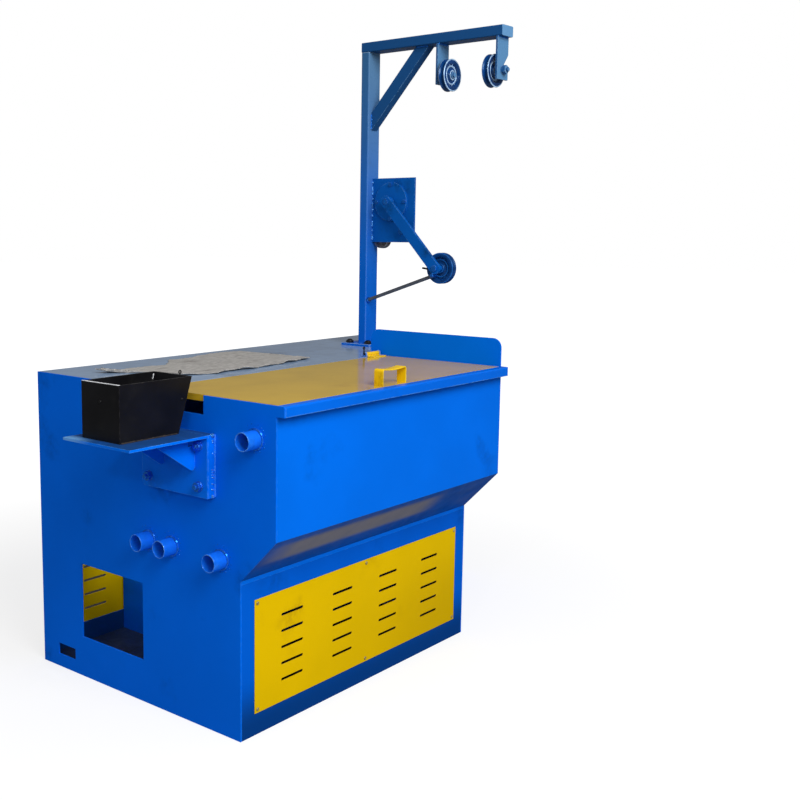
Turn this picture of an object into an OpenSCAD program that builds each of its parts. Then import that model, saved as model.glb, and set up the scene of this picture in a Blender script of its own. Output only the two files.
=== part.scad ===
// Tank type wire drawing machine with a dancer mast.
// Origin: on the floor, at the middle of the tank's length and of the cabinet's depth.
// X runs along the tank front, Y goes to the back, Z is up. Millimetres.

/* [Cabinet] */
// Length of the tank and of the base under it
tank_len = 1240; // [1000:10:1600]
// Length of the rear cabinet, which runs on past the tank
cabinet_len = 1900; // [1700:10:2400]
// Depth of the whole cabinet, without the tank's overhang
depth = 975; // [900:5:1200]
// Height of the work table above the floor
table_h = 1050; // [1000:10:1150]
// Depth from the base front to the rear face of the wall behind the tank
tank_depth = 438; // [420:2:520]
// Thickness of the cabinet's steel plates
plate_t = 6; // [4:1:8]
// Thickness of the floor plate
floor_t = 8; // [6:1:12]
// Height of the floor plate's top above the ground
floor_top = 20; // [16:1:40]
// Width of the rails under the floor plate
rail_w = 60; // [40:2:100]

/* [Tank] */
// How far the tank's front overhangs the base
overhang = 141; // [100:1:180]
// Height at which the sloping underside leaves the base
slope_low = 504; // [440:2:560]
// Height at which the sloping underside meets the tank's front
slope_high = 650; // [600:2:720]
// Height of the rim along the tank's front
lip_h = 32; // [25:1:40]
// How far the rim stands out in front of the tank
lip_out = 31; // [20:1:45]
// Radius of the rim's folded edge and of its right corner
lip_r = 6; // [6:0.5:10]
// Height of the guard above the table
guard_h = 102; // [60:1:160]
// Distance from the base front to the guard's rear end
guard_end = 449; // [440:1:520]
// Radius of the guard's upper corners
guard_r = 35; // [10:1:45]
// Height of the upright fold where the tank shell meets the base
shell_foot = 12; // [8:1:24]
// Width of the ledge that carries the lid's front edge
ledge_w = 28; // [20:1:40]

/* [Vent panels] */
// Width of a vent panel
panel_w = 1117; // [1000:1:1120]
// Height of a vent panel
panel_h = 362; // [330:1:390]
// Height of a vent panel's lower edge
panel_z = 70; // [60:1:90]
// Thickness of a vent panel
panel_t = 2; // [1:0.5:4]
// How far a panel overlaps the hole behind it
panel_lap = 22; // [12:1:30]
// Columns of slots
slot_cols = 4; // [2:1:4]
// Rows of slots
slot_rows = 5; // [2:1:6]
// Length of a slot
slot_len = 105; // [60:1:140]
// Height of a slot
slot_h = 9; // [5:1:14]
// Distance between columns
slot_pitch_x = 256; // [200:1:260]
// Distance between rows
slot_pitch_z = 53; // [30:1:55]
// Distance from a panel's top to the middle of its first row
slot_drop = 78; // [60:1:100]

/* [Side plate openings] */
// Width of the service opening
service_w = 316; // [240:2:330]
// Height of the service opening
service_h = 262; // [200:2:300]
// Height of the service opening's sill
service_z = 142; // [120:2:180]
// Distance from the base front to the service opening
service_y = 438; // [420:2:460]
// Width of the cable hole near the floor
cable_w = 95; // [60:1:110]
// Height of the cable hole
cable_h = 41; // [30:1:60]
// Height of the cable hole's sill
cable_z = 45; // [35:1:60]
// Distance from the base front to the cable hole
cable_y = 797; // [780:1:820]
// Width of the wire notch in the top edge
notch_w = 188; // [120:1:200]
// Depth of the wire notch
notch_h = 59; // [40:1:70]
// Distance from the base front to the wire notch
notch_y = 152; // [130:1:160]
// Distance from the left side plate to the inner partition
partition_x = 367; // [340:1:450]

/* [Lid] */
// Thickness of the lid's sheet
lid_t = 3; // [2:0.5:5]
// Height of the lid's folded edge
lid_fold = 20; // [12:1:30]
// Gap around the lid
lid_gap = 5; // [4:0.5:8]
// Distance from the base front to the lid's rear edge
lid_back = 390; // [370:1:395]
// Outer radius of a hinge barrel
barrel_r = 8; // [7:0.5:10]
// Radius of a hinge pin
pin_r = 4; // [3:0.5:5]
// Radial clearance of the hinge pin
pin_gap = 0.1; // [0.05:0.01:0.1]
// Length of a hinge barrel
barrel_len = 80; // [50:1:90]
// Height of a hinge barrel's underside above the table
barrel_lift = 2; // [1:0.5:5]
// Length of a hinge leaf on the lid
leaf_len = 26; // [15:1:50]
// Thickness of a hinge leaf
leaf_t = 3; // [2:0.5:5]
// Thickness of a hinge lug
lug_t = 5; // [4:1:12]
// Gap between a hinge barrel and its lugs
lug_gap = 1; // [0.5:0.1:2]
// Height of a hinge pin's upright handle
pin_handle_h = 32; // [25:1:45]
// Radius of a hinge pin's upright handle
pin_handle_r = 3; // [2:0.5:3.5]
// Distance from the left side plate's inner face to the left hinge
hinge_left_x = 47; // [30:1:200]
// Distance from the right side plate's face to the right hinge
hinge_right_x = 14; // [12:1:60]
// Distance from the left side plate to the handle
handle_x = 518; // [400:1:600]
// Distance from the lid's front edge to the handle
handle_inset = 2; // [1:1:40]
// Length of the handle
handle_len = 129; // [100:1:160]
// Height of the handle
handle_h = 56; // [40:1:70]
// Width of the handle's strap
handle_w = 36; // [25:1:45]
// Thickness of the handle's strap
handle_t = 4; // [3:0.5:6]

/* [Table mat] */
// Distance from the left side plate's face to the mat
mat_x = 115; // [60:5:200]
// Distance from the base front to the mat
mat_y = 465; // [455:5:480]
// Length of the mat
mat_len = 838; // [600:2:900]
// Width of the mat
mat_w = 456; // [300:2:470]
// Thickness of the mat
mat_t = 4; // [2:0.5:6]

/* [Die box and shelf] */
// Height of the shelf's top
shelf_z = 938; // [900:1:960]
// Length of the shelf, away from the machine
shelf_len = 300; // [280:1:340]
// Width of the shelf
shelf_w = 296; // [270:1:320]
// Thickness of the shelf
shelf_t = 8; // [6:1:12]
// Distance from the base front to the shelf's front edge
shelf_y = 104; // [90:1:120]
// Depth of the frame that carries the bolted plate
standoff = 27; // [20:1:40]
// Width of the bars of that frame
standoff_bar = 16; // [10:1:30]
// Thickness of the bolted plate
mount_t = 6; // [5:1:10]
// Width of the bolted plate
mount_w = 290; // [270:1:300]
// Height of the bolted plate
mount_h = 193; // [160:1:200]
// Distance of the plate's bolts from its edges
bolt_inset = 34; // [30:1:45]
// Radius of the plate's bolts
bolt_r = 8; // [5:0.5:10]
// Length of the bolts outside the plate
bolt_out = 24; // [14:1:30]
// Distance from the shelf's front edge to the first gusset
gusset_y = 52; // [50:1:70]
// Distance between the two gussets
gusset_pitch = 133; // [120:1:170]
// Length of a gusset under the shelf
gusset_len = 172; // [140:1:200]
// Height of a gusset on the plate
gusset_h = 103; // [80:1:120]
// Thickness of a gusset
gusset_t = 8; // [5:1:10]
// Size of the relief in a gusset's inner corner
relief = 28; // [20:1:34]
// Radius of a gusset's lower tip
tip_r = 12; // [8:1:16]
// Distance from the left side plate's face to the box's bottom
box_off = 69; // [66:1:120]
// Distance from the base front to the box
box_front = 187; // [170:1:210]
// Length of the box at its bottom
box_len = 228; // [180:1:240]
// How much longer the box is at its top
box_flare = 56; // [0:1:58]
// Width of the box
box_w = 168; // [140:1:190]
// Height of the box
box_h = 169; // [140:1:190]
// Thickness of the box's walls
box_t = 5; // [3:0.5:6]

/* [Pipe stubs] */
// Outer radius of a pipe stub
stub_r = 28.5; // [24:0.5:32]
// Wall of a pipe stub
stub_wall = 3; // [2:0.5:5]
// How far a pipe stub stands out
stub_len = 57; // [40:1:90]
// Height of the three lower stubs
stub_z = 556; // [550:1:600]
// Distance from the base front to the front stub
stub_front_y = 80; // [45:1:100]
// Distance from the base front to the middle stub
stub_middle_y = 298; // [240:1:310]
// Distance from the base front to the rear stub
stub_rear_y = 405; // [370:1:405]
// Distance from the tank's front to the upper stub
stub_upper_y = 81; // [50:1:90]
// Drop of the upper stub below the table
stub_upper_drop = 107; // [80:1:130]

/* [Mast] */
// Distance from the left side plate's face to the mast
mast_x = 1470; // [1420:1:1500]
// Distance from the base front to the mast's front face
mast_y = 656; // [640:1:680]
// Width of the mast's tube, along the machine
mast_w = 80; // [70:1:100]
// Depth of the mast's tube
mast_d = 40; // [30:1:50]
// Wall of the mast's tube
mast_wall = 3; // [2:0.5:5]
// Radius of the tube's corners
mast_r = 5; // [4:0.5:8]
// Height of the arm's top above the table
mast_h = 1266; // [1200:1:1400]
// Length of the arm in front of the mast
arm_reach = 626; // [600:1:700]
// Height at which the brace meets the mast, above the table
brace_z = 943; // [880:1:1000]
// Distance from the mast to the brace's upper end
brace_out = 251; // [220:1:290]
// Width of the brace's tube in its own plane
brace_h = 48; // [40:1:60]
// Width of the base plate
base_plate_w = 170; // [150:1:200]
// Depth of the base plate
base_plate_d = 150; // [130:1:180]
// Thickness of the base plate
base_plate_t = 12; // [8:1:16]
// Distance of the base plate's bolts from its edges
base_bolt_inset = 26; // [18:1:32]
// Radius of the base plate's bolts
base_bolt_r = 8; // [5:0.5:10]

/* [Pulleys] */
// Outer radius of a pulley
pulley_r = 63; // [55:0.5:68]
// Width of a pulley
pulley_w = 28; // [22:1:32]
// Depth of the groove
groove_d = 14; // [8:1:18]
// Wall between the groove and the web's recess
rim_t = 4; // [3:0.5:6]
// Thickness of the web
web_t = 10; // [6:1:14]
// Radius of the hub
hub_r = 20; // [16:0.5:24]
// Radius of the raised ring on the web
ring_r = 36; // [32:0.5:40]
// Radius of a pulley's axle
axle_r = 8; // [6:0.5:10]
// Radial clearance of an axle
axle_gap = 0.1; // [0.05:0.01:0.1]
// Distance from the mast to the rear hanger
hanger_rear_out = 330; // [310:1:360]
// Distance from the mast to the front hanger
hanger_front_out = 600; // [580:1:612]
// Length of a hanger below the arm
hanger_h = 159; // [140:1:180]
// Thickness of a hanger
hanger_t = 8; // [6:1:10]
// Distance of a pulley's axle below the arm
axle_drop = 123; // [110:1:135]
// Length of the spacer between hanger and pulley
spacer_len = 18; // [12:1:24]
// Radius of that spacer
spacer_r = 13; // [10:0.5:16]
// Gap between a pulley and what is beside it
side_gap = 0.5; // [0.3:0.1:1]
// Length of an axle's threaded end behind its hanger
axle_tail = 28; // [20:1:36]
// Radius over the corners of the nut on that end
nut_r = 13.6; // [12:0.2:16]
// Height of that nut
nut_h = 14; // [8:1:18]
// Radius over the corners of the bolt head in front of a pulley
head_r = 10.4; // [9:0.2:13]
// Height of that head
head_h = 7; // [5:1:10]
// Thickness of the washer under it
washer_t = 3; // [2:0.5:4]
// Height of the notch in the front hanger's edge
hanger_notch_h = 44; // [20:1:50]
// Depth of that notch
hanger_notch_d = 34; // [10:1:34]
// Height of the notch's top below the arm
hanger_notch_z = 65; // [50:1:68]

/* [Dancer] */
// Width of the dancer's plate
dancer_w = 216; // [200:1:240]
// Height of the dancer's plate
dancer_h = 266; // [240:1:290]
// Height of the plate's lower edge above the table
dancer_z = 443; // [420:1:470]
// Thickness of the dancer's plate
dancer_t = 8; // [6:1:10]
// Distance from the mast to the pivot
pivot_out = 103; // [95:1:110]
// Height of the pivot above the plate's lower edge
pivot_z = 168; // [150:1:180]
// Radius of the bearing flange
flange_r = 80; // [70:1:90]
// Thickness of the bearing flange
flange_t = 12; // [8:1:16]
// Radius of the flange's four bolt heads
flange_bolt_r = 7; // [5:0.5:8]
// Height of those heads
flange_bolt_h = 5; // [3:0.5:7]
// Distance of those bolts from the flange's edge
flange_bolt_in = 10; // [9:0.5:14]
// Radius of the plate's own bolt head
plate_bolt_r = 11; // [8:0.5:12]
// Distance from the mast to that bolt
plate_bolt_out = 154; // [140:1:170]
// Height of that bolt above the plate's lower edge
plate_bolt_z = 45; // [30:1:60]
// Length of the swing arm between its axles
swing_len = 368; // [340:1:400]
// Angle of the swing arm from straight down
swing_angle = 42.6; // [38:0.1:48]
// Width of the swing arm
swing_w = 46; // [36:1:52]
// Thickness of the swing arm
swing_t = 12; // [8:1:14]
// Gap between the dancer's plate and the swing arm
swing_gap = 37; // [34:1:44]
// Radius of the pivot shaft
pivot_r = 12; // [10:0.5:14]
// Radius of the collars on that shaft
collar_r = 20; // [16:0.5:24]
// Thickness of its retaining collar
collar_t = 8; // [5:1:12]
// Radius of the rest rod
rod_r = 7.5; // [5:0.5:8]
// Radius of the pin that the swing arm rests on
rest_pin_r = 8; // [6:0.5:10]
// Direction from the arm's tip to that pin, from straight down
rest_dir = 26; // [20:1:32]
// Radius of the boss at the rod's foot
boss_r = 12; // [9:0.5:14]
// Radius of the hook wire
wire_r = 4; // [2:0.5:5]
// How far the hook leans back before its bend
hook_back = 27; // [15:1:40]
// How high the hook rises to its bend
hook_rise = 24; // [15:1:40]
// Length of the hook behind its bend
hook_len = 33; // [20:1:45]
// Height of the rest rod's foot above the table
rod_z = 196; // [170:1:220]
// Radius of the sensor housing
sensor_r = 36.5; // [32:0.5:39]
// Length of the sensor housing
sensor_len = 30; // [20:1:40]
// Width of the sensor housing's raised edge
sensor_edge = 6; // [3:1:10]
// Distance from the mast to the sensor housing's middle
sensor_out = 40; // [40:1:50]
// Height of its middle above the plate's lower edge
sensor_z = 10; // [8:1:20]

/* [Drawing cones] */
// Radius of a cone's largest step
cone_r = 110; // [80:1:125]
// Difference in radius between two steps
cone_step = 9; // [5:0.5:10]
// Number of steps
cone_steps = 8; // [4:1:9]
// Width of one step
cone_step_w = 22; // [16:1:26]
// Radius of a cone's shaft
shaft_r = 20; // [15:1:30]
// Distance of the cones' shafts below the table
cone_drop = 250; // [220:1:270]
// Distance from the left side plate to the left cone
cone_left_x = 360; // [300:1:400]
// Distance between the two cones
cone_pitch = 520; // [460:1:560]
// Length of the shaft between bearing flange and cone
shaft_len = 20; // [12:1:40]
// Radius of a cone's bearing flange
bearing_r = 60; // [45:1:80]
// Thickness of a cone's bearing flange
bearing_t = 14; // [8:1:20]
// Radius of the spacer between bearing flange and cone
neck_r = 30; // [24:1:45]
// Length of the shaft's end in front of a cone
shaft_end = 8; // [4:1:20]
// Chamfer of the bearing flange
bearing_cut = 3; // [1:0.5:5]

/* [Hidden] */
$fn = 64;
eps = 0.01;
seat = 0.3;
x_left = -tank_len/2;
x_right = tank_len/2;
x_end = x_left + cabinet_len;
y_front = -depth/2;
y_back = depth/2;
y_tank = y_front - overhang;
y_wall = y_front + tank_depth;
z_under = table_h - plate_t;
cut_w = panel_w - 2*panel_lap;
cut_h = panel_h - 2*panel_lap;
z_shell = slope_low - shell_foot;
ledge_z = table_h - lid_t - seat;
slot_span_x = (slot_cols - 1)*slot_pitch_x;
slot_span_z = (slot_rows - 1)*slot_pitch_z;
hinge_y = y_front + lid_back + lid_gap + barrel_r + 2;
hinge_z = table_h + barrel_lift + barrel_r;
lug_r = barrel_r + 2;
mast_x0 = x_left + mast_x;
mast_y0 = y_front + mast_y;
mast_mid = mast_x0 + mast_w/2;
arm_top = table_h + mast_h;
arm_under = arm_top - mast_d;
axle_z = arm_under - axle_drop;
cone_z = table_h - cone_drop;
pivot_y = mast_y0 - pivot_out;
pivot_h = table_h + dancer_z + pivot_z;
dancer_x = mast_mid - dancer_t/2;
swing_x1 = dancer_x - swing_gap;
swing_x0 = swing_x1 - swing_t;
tip_y = pivot_y - swing_len*sin(swing_angle);
tip_z = pivot_h - swing_len*cos(swing_angle);
rest_d = swing_w/2 + rest_pin_r + seat;
rest_y = tip_y + rest_d*sin(rest_dir);
rest_z = tip_z - rest_d*cos(rest_dir);
rod_x = (swing_x1 + mast_mid - pulley_w/2)/2;
mount_x = x_left - standoff - mount_t;
shelf_y0 = y_front + shelf_y;

// A box given by its two opposite corners
module span(a, b) {
    translate(a) cube(b - a);
}

// Outline of a side plate in the YZ plane, without the rim's end
module side_outline() {
    polygon([[y_front, 0], [y_back, 0], [y_back, table_h], [y_tank, table_h],
        [y_tank, slope_high], [y_front, slope_low]]);
}

// Turns a YZ outline into a plate that starts at x
module yz_plate(x, t) {
    translate([x, 0, 0]) rotate([90, 0, 90]) linear_extrude(t) children();
}

// Rectangle in a YZ outline, from its lower front corner
module yz_rect(y, z, w, h) {
    translate([y, z]) square([w, h]);
}

module left_side_plate() {
    color("royalblue") yz_plate(x_left, plate_t) difference() {
        union() {
            side_outline();
            fold_outline(lip_out, table_h, lip_r);
            yz_rect(y_tank - 1, table_h - lip_h, 2, lip_h);
        }
        yz_rect(y_front + service_y, service_z, service_w, service_h);
        yz_rect(y_front + cable_y, cable_z, cable_w, cable_h);
        yz_rect(y_front + notch_y, table_h - notch_h, notch_w, notch_h + 1);
        for (p = stub_places())
            translate(p) circle(r = stub_r - stub_wall);
    }
}

// Middles of the pipe stubs: upper, rear, middle, front
function stub_places() = [
    [y_tank + stub_upper_y, table_h - stub_upper_drop],
    [y_front + stub_rear_y, stub_z],
    [y_front + stub_middle_y, stub_z],
    [y_front + stub_front_y, stub_z]];

module right_side_plate() {
    guard_w = overhang + guard_end;
    color("royalblue") yz_plate(x_right - plate_t, plate_t) {
        intersection() {
            side_outline();
            yz_rect(y_tank, 0, overhang + tank_depth - plate_t, table_h);
        }
        difference() {
            union() {
                yz_rect(y_tank, table_h, guard_w, guard_h);
                yz_rect(y_tank, table_h - 1, overhang + tank_depth - plate_t, guard_h);
            }
            guard_corner(y_tank, 0);
            guard_corner(y_tank + guard_w, 1);
        }
    }
}

// What is cut off a guard corner to round it
module guard_corner(y, flip) {
    translate([y, table_h + guard_h]) mirror([flip, 0]) difference() {
        translate([-1, -guard_r]) square([guard_r + 1, guard_r + 1]);
        translate([guard_r, -guard_r]) circle(r = guard_r);
    }
}

module middle_wall() {
    color("royalblue") difference() {
        union() {
            span([x_left + plate_t, y_wall - plate_t, floor_top], [x_end - plate_t, y_wall, z_under]);
            span([x_right - plate_t, y_wall - plate_t, 0], [x_end - plate_t, y_wall, floor_top + 1]);
        }
        for (x = cone_places())
            translate([x, y_wall + 1, cone_z]) rotate([90, 0, 0])
                cylinder(r = shaft_r + seat, h = plate_t + 2);
    }
}

// Middles of the two drawing cones
function cone_places() = [x_left + cone_left_x, x_left + cone_left_x + cone_pitch];

module end_wall() {
    color("royalblue") span([x_end - plate_t, y_wall - plate_t, 0], [x_end, y_back, z_under]);
}

// The hole that a vent panel covers, in a wall that starts at y
module panel_hole(y) {
    translate([-cut_w/2, y - 1, panel_z + panel_lap]) cube([cut_w, plate_t + 2, cut_h]);
}

module rear_wall() {
    color("royalblue") difference() {
        span([x_left + plate_t, y_back - plate_t, 0], [x_end - plate_t, y_back, z_under]);
        panel_hole(y_back - plate_t);
    }
}

module base_front() {
    color("royalblue") difference() {
        span([x_left + plate_t, y_front, 0], [x_right - plate_t, y_front + plate_t, z_shell]);
        panel_hole(y_front);
    }
}

// A vent panel standing on its own lower edge, slots cut through
module vent_panel() {
    difference() {
        translate([-panel_w/2, 0, 0]) cube([panel_w, panel_t, panel_h]);
        for (i = [0:slot_cols - 1], j = [0:slot_rows - 1])
            translate([(i - (slot_cols - 1)/2)*slot_pitch_x, -1, panel_h - slot_drop - j*slot_pitch_z])
                slot();
    }
}

// One slot with round ends
module slot() {
    half = (slot_len - slot_h)/2;
    translate([-half, 0, -slot_h/2]) cube([2*half, panel_t + 2, slot_h]);
    for (x = [-half, half])
        translate([x, 0, 0]) rotate([-90, 0, 0]) cylinder(d = slot_h, h = panel_t + 2, $fn = 24);
}

module front_vent_panel() {
    color("gold") translate([0, y_front - panel_t, panel_z]) vent_panel();
}

module rear_vent_panel() {
    color("gold") translate([0, y_back, panel_z]) vent_panel();
}

module cabinet_floor() {
    z0 = floor_top - floor_t;
    y_in = y_front + plate_t;
    x_in = x_left + plate_t;
    color("midnightblue") {
        span([x_in, y_in, z0], [x_right - plate_t, y_wall + 1, floor_top]);
        span([x_in, y_wall, z0], [x_end - plate_t, y_back - plate_t, floor_top]);
        for (x = [x_in, -rail_w/2])
            span([x, y_in, 0], [x + rail_w, y_back - plate_t, z0 + 1]);
        span([x_right - plate_t - rail_w, y_in, 0], [x_right - plate_t, y_wall, z0 + 1]);
        span([x_end - plate_t - rail_w, y_wall, 0], [x_end - plate_t, y_back - plate_t, z0 + 1]);
    }
}

module inner_partition() {
    color("royalblue") span([x_left + partition_x, y_wall, floor_top],
        [x_left + partition_x + plate_t, y_back - plate_t, z_under]);
}

// Tank front, sloping underside and bottom, folded from one sheet, with the lid's ledge
module tank_shell() {
    rise = (slope_high - slope_low)/overhang;
    skin = plate_t*sqrt(1 + rise*rise);
    floor_z = z_shell + plate_t;
    color("royalblue") yz_plate(x_left + plate_t, tank_len - 2*plate_t) polygon([
        [y_tank, slope_high], [y_front, slope_low], [y_front, z_shell],
        [y_wall - plate_t, z_shell], [y_wall - plate_t, floor_z],
        [y_front + (slope_low + skin - floor_z)/rise, floor_z],
        [y_tank + plate_t, slope_high - plate_t*rise + skin],
        [y_tank + plate_t, ledge_z - plate_t], [y_tank + ledge_w, ledge_z - plate_t],
        [y_tank + ledge_w, ledge_z], [y_tank, ledge_z]]);
}

// Outline of the rim: as far out as out, its top at top, its upper front edge folded to r
module fold_outline(out, top, r) {
    low = table_h - lip_h;
    yz_rect(y_tank - out, low, out, top - r - low);
    yz_rect(y_tank - out + r, low, out - r, top - low);
    translate([y_tank - out + r, top - r]) circle(r = r);
}

// Folded strip along the tank's front, open underneath, its right corner rounded
module front_rim() {
    inner = plate_t - 1;
    color("dodgerblue") intersection() {
        yz_plate(x_left + plate_t, tank_len - plate_t) difference() {
            fold_outline(lip_out, table_h, lip_r);
            yz_rect(y_tank - lip_out + inner, table_h - lip_h - 1, lip_out, lip_h - inner + 1);
        }
        translate([0, 0, table_h - lip_h - 1]) linear_extrude(lip_h + 2) {
            translate([x_left, y_tank - lip_out + lip_r]) square([tank_len, lip_out - lip_r + 1]);
            translate([x_left, y_tank - lip_out]) square([tank_len - lip_r, lip_out]);
            translate([x_right - lip_r, y_tank - lip_out + lip_r]) circle(r = lip_r);
        }
    }
}

module table_top() {
    color("slategray") {
        span([x_left + plate_t, y_front + lid_back + lid_gap, z_under],
            [x_right - plate_t, y_wall, table_h]);
        span([x_left + plate_t, y_wall - plate_t, z_under], [x_end, y_back, table_h]);
    }
}

// Outline of the loose torn mat, in shares of its length and width
function mat_outline() = [[0, 0.72], [0.17, 0.42], [0.19, 0.12], [0.3, 0], [0.55, 0], [0.98, 0.11],
    [1, 0.3], [0.98, 0.55], [0.99, 0.94], [0.88, 1], [0.6, 0.89], [0.5, 0.92], [0.37, 0.68], [0.24, 0.73]];

module table_mat() {
    color("gray") translate([x_left + mat_x, y_front + mat_y, table_h]) linear_extrude(mat_t)
        polygon([for (p = mat_outline()) [p[0]*mat_len, p[1]*mat_w]]);
}

module tank_lid() {
    x0 = x_left + plate_t + lid_gap;
    x1 = x_right - plate_t - lid_gap;
    y0 = y_tank + ledge_w + lid_gap;
    y1 = y_front + lid_back;
    z0 = table_h - lid_fold;
    color("gold") {
        span([x0, y_tank + lid_gap, table_h - lid_t], [x1, y1, table_h]);
        for (x = [x0, x1 - lid_t])
            span([x, y0, z0], [x + lid_t, y1, table_h - 1]);
        for (y = [y0, y1 - lid_t])
            span([x0, y, z0], [x1, y + lid_t, table_h - 1]);
    }
}

module lid_handle() {
    x0 = x_left + handle_x;
    y0 = y_tank + lid_gap + handle_inset;
    top = table_h + handle_h;
    color("gold") {
        for (x = [x0, x0 + handle_len - handle_t])
            span([x, y0, table_h], [x + handle_t, y0 + handle_w, top]);
        span([x0, y0, top - handle_t], [x0 + handle_len, y0 + handle_w, top]);
    }
}

// Left ends of the two hinge barrels
function barrel_x() = [x_left + plate_t + hinge_left_x, x_right - plate_t - hinge_right_x - barrel_len];

// A rod along X between two places
module x_rod(x0, x1, r) {
    translate([x0, 0, 0]) rotate([0, 90, 0]) cylinder(r = r, h = x1 - x0);
}

module lid_barrels() {
    leaf_y = y_front + lid_back - leaf_len;
    color("gold") for (x = barrel_x()) difference() {
        union() {
            translate([0, hinge_y, hinge_z]) x_rod(x, x + barrel_len, barrel_r);
            span([x, leaf_y, table_h], [x + barrel_len, hinge_y, table_h + leaf_t]);
            span([x, hinge_y - barrel_r, table_h + 1], [x + barrel_len, hinge_y, hinge_z - pin_r - 1]);
        }
        translate([0, hinge_y, hinge_z]) x_rod(x - 1, x + barrel_len + 1, pin_r + pin_gap);
        span([x - 1, y_front + lid_back + lid_gap - 1, table_h - 1],
            [x + barrel_len + 1, hinge_y + 1, table_h + barrel_lift]);
    }
}

module hinge_lugs() {
    color("royalblue") for (b = barrel_x(), x = [b - lug_gap - lug_t, b + barrel_len + lug_gap])
        yz_plate(x, lug_t) difference() {
            union() {
                translate([hinge_y, hinge_z]) circle(r = lug_r);
                yz_rect(hinge_y - lug_r, table_h, 2*lug_r, hinge_z - table_h);
            }
            translate([hinge_y, hinge_z]) circle(r = pin_r + pin_gap);
        }
}

// The two pins, their upright handles towards the lid's middle
module hinge_pins() {
    color("dimgray") {
        translate([barrel_x()[0] + barrel_len, hinge_y, hinge_z]) mirror([1, 0, 0]) hinge_pin();
        translate([barrel_x()[1], hinge_y, hinge_z]) hinge_pin();
    }
}

// A pin whose barrel runs from x = 0, its handle on the other side
module hinge_pin() {
    reach = lug_gap + lug_t + seat;
    x_rod(-reach - 2*pin_r, barrel_len + reach, pin_r);
    x_rod(barrel_len + reach, barrel_len + reach + pin_r, lug_r - pin_r/2);
    translate([-reach - pin_r, 0, 0]) cylinder(r = pin_handle_r, h = pin_handle_h);
}

// Open box whose end towards the machine leans outwards
module die_box() {
    x0 = x_left - box_off - box_len;
    color("dimgray") difference() {
        box_form(x0, 0, shelf_z);
        box_form(x0 + box_t, box_t, shelf_z + box_t);
    }
}

// The box's outer form, or its inside when drawn in
module box_form(x0, wall, z0) {
    x1 = x_left - box_off - wall;
    lean = box_flare*(z0 - shelf_z)/box_h;
    y0 = y_front + box_front + wall;
    top = shelf_z + box_h + wall;
    translate([0, y0 + box_w - 2*wall, 0]) rotate([90, 0, 0]) linear_extrude(box_w - 2*wall)
        polygon([[x0, z0], [x1 + lean, z0], [x1 + box_flare*(1 + wall/box_h), top], [x0, top]]);
}

// Shelf, two gussets and the plate that they are welded to
module die_shelf() {
    color("royalblue") {
        difference() {
            span([mount_x, shelf_y0, shelf_z - mount_h], [mount_x + mount_t, shelf_y0 + mount_w, shelf_z]);
            translate([mount_x - 1, shelf_y0 + mount_w, shelf_z - mount_h]) rotate([45, 0, 0])
                translate([0, -bolt_r, -bolt_r]) cube([mount_t + 2, 2*bolt_r, 2*bolt_r]);
        }
        span([mount_x - shelf_len, shelf_y0, shelf_z - shelf_t], [mount_x, shelf_y0 + shelf_w, shelf_z]);
        for (y = [gusset_y, gusset_y + gusset_pitch])
            translate([mount_x, shelf_y0 + y + gusset_t, shelf_z - shelf_t]) mirror([1, 0, 0])
                rotate([90, 0, 0]) linear_extrude(gusset_t) gusset();
    }
}

// Gusset outline: x away from the plate, y up to the shelf's underside
module gusset() {
    polygon([[relief, 0], [gusset_len, 0], [tip_r + 7, -gusset_h + 2], [tip_r, -gusset_h + tip_r],
        [0, -gusset_h + tip_r], [0, -relief], [relief, -relief]]);
    translate([tip_r, tip_r - gusset_h]) circle(r = tip_r);
}

// Welded frame that holds the bolted plate off the side plate
module shelf_standoff() {
    color("royalblue") difference() {
        span([x_left - standoff, shelf_y0, shelf_z - mount_h], [x_left, shelf_y0 + mount_w, shelf_z]);
        span([x_left - standoff - 1, shelf_y0 + standoff_bar, shelf_z - mount_h + standoff_bar],
            [x_left + 1, shelf_y0 + mount_w - standoff_bar, shelf_z - standoff_bar]);
    }
}

module shelf_bolts() {
    color("royalblue") for (y = [bolt_inset, mount_w - bolt_inset], z = [bolt_inset, mount_h - bolt_inset])
        translate([0, shelf_y0 + y, shelf_z - z]) {
            x_rod(mount_x - bolt_out, mount_x, bolt_r);
            translate([mount_x - bolt_r, 0, 0]) rotate([0, 90, 0])
                cylinder(r = 1.6*bolt_r, h = bolt_r, $fn = 6);
        }
}

module pipe_stub(p) {
    color("royalblue") translate([0, p[0], p[1]]) difference() {
        x_rod(x_left - stub_len, x_left, stub_r);
        x_rod(x_left - stub_len - 1, x_left + 1, stub_r - stub_wall);
    }
}

module pipe_stub_upper() {
    pipe_stub(stub_places()[0]);
}

module pipe_stub_rear() {
    pipe_stub(stub_places()[1]);
}

module pipe_stub_middle() {
    pipe_stub(stub_places()[2]);
}

module pipe_stub_front() {
    pipe_stub(stub_places()[3]);
}

// Rectangle with round corners, about its middle
module round_rect(w, d, r) {
    square([w - 2*r, d], center = true);
    square([w, d - 2*r], center = true);
    for (x = [r - w/2, w/2 - r], y = [r - d/2, d/2 - r])
        translate([x, y]) circle(r = r, $fn = 32);
}

// Section of the rectangular tube
module tube_section() {
    difference() {
        round_rect(mast_w, mast_d, mast_r);
        round_rect(mast_w - 2*mast_wall, mast_d - 2*mast_wall, mast_r - mast_wall);
    }
}

module mast_tube() {
    z0 = table_h + base_plate_t;
    color("royalblue") translate([mast_mid, mast_y0 + mast_d/2, z0])
        linear_extrude(arm_under - z0) tube_section();
}

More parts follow.
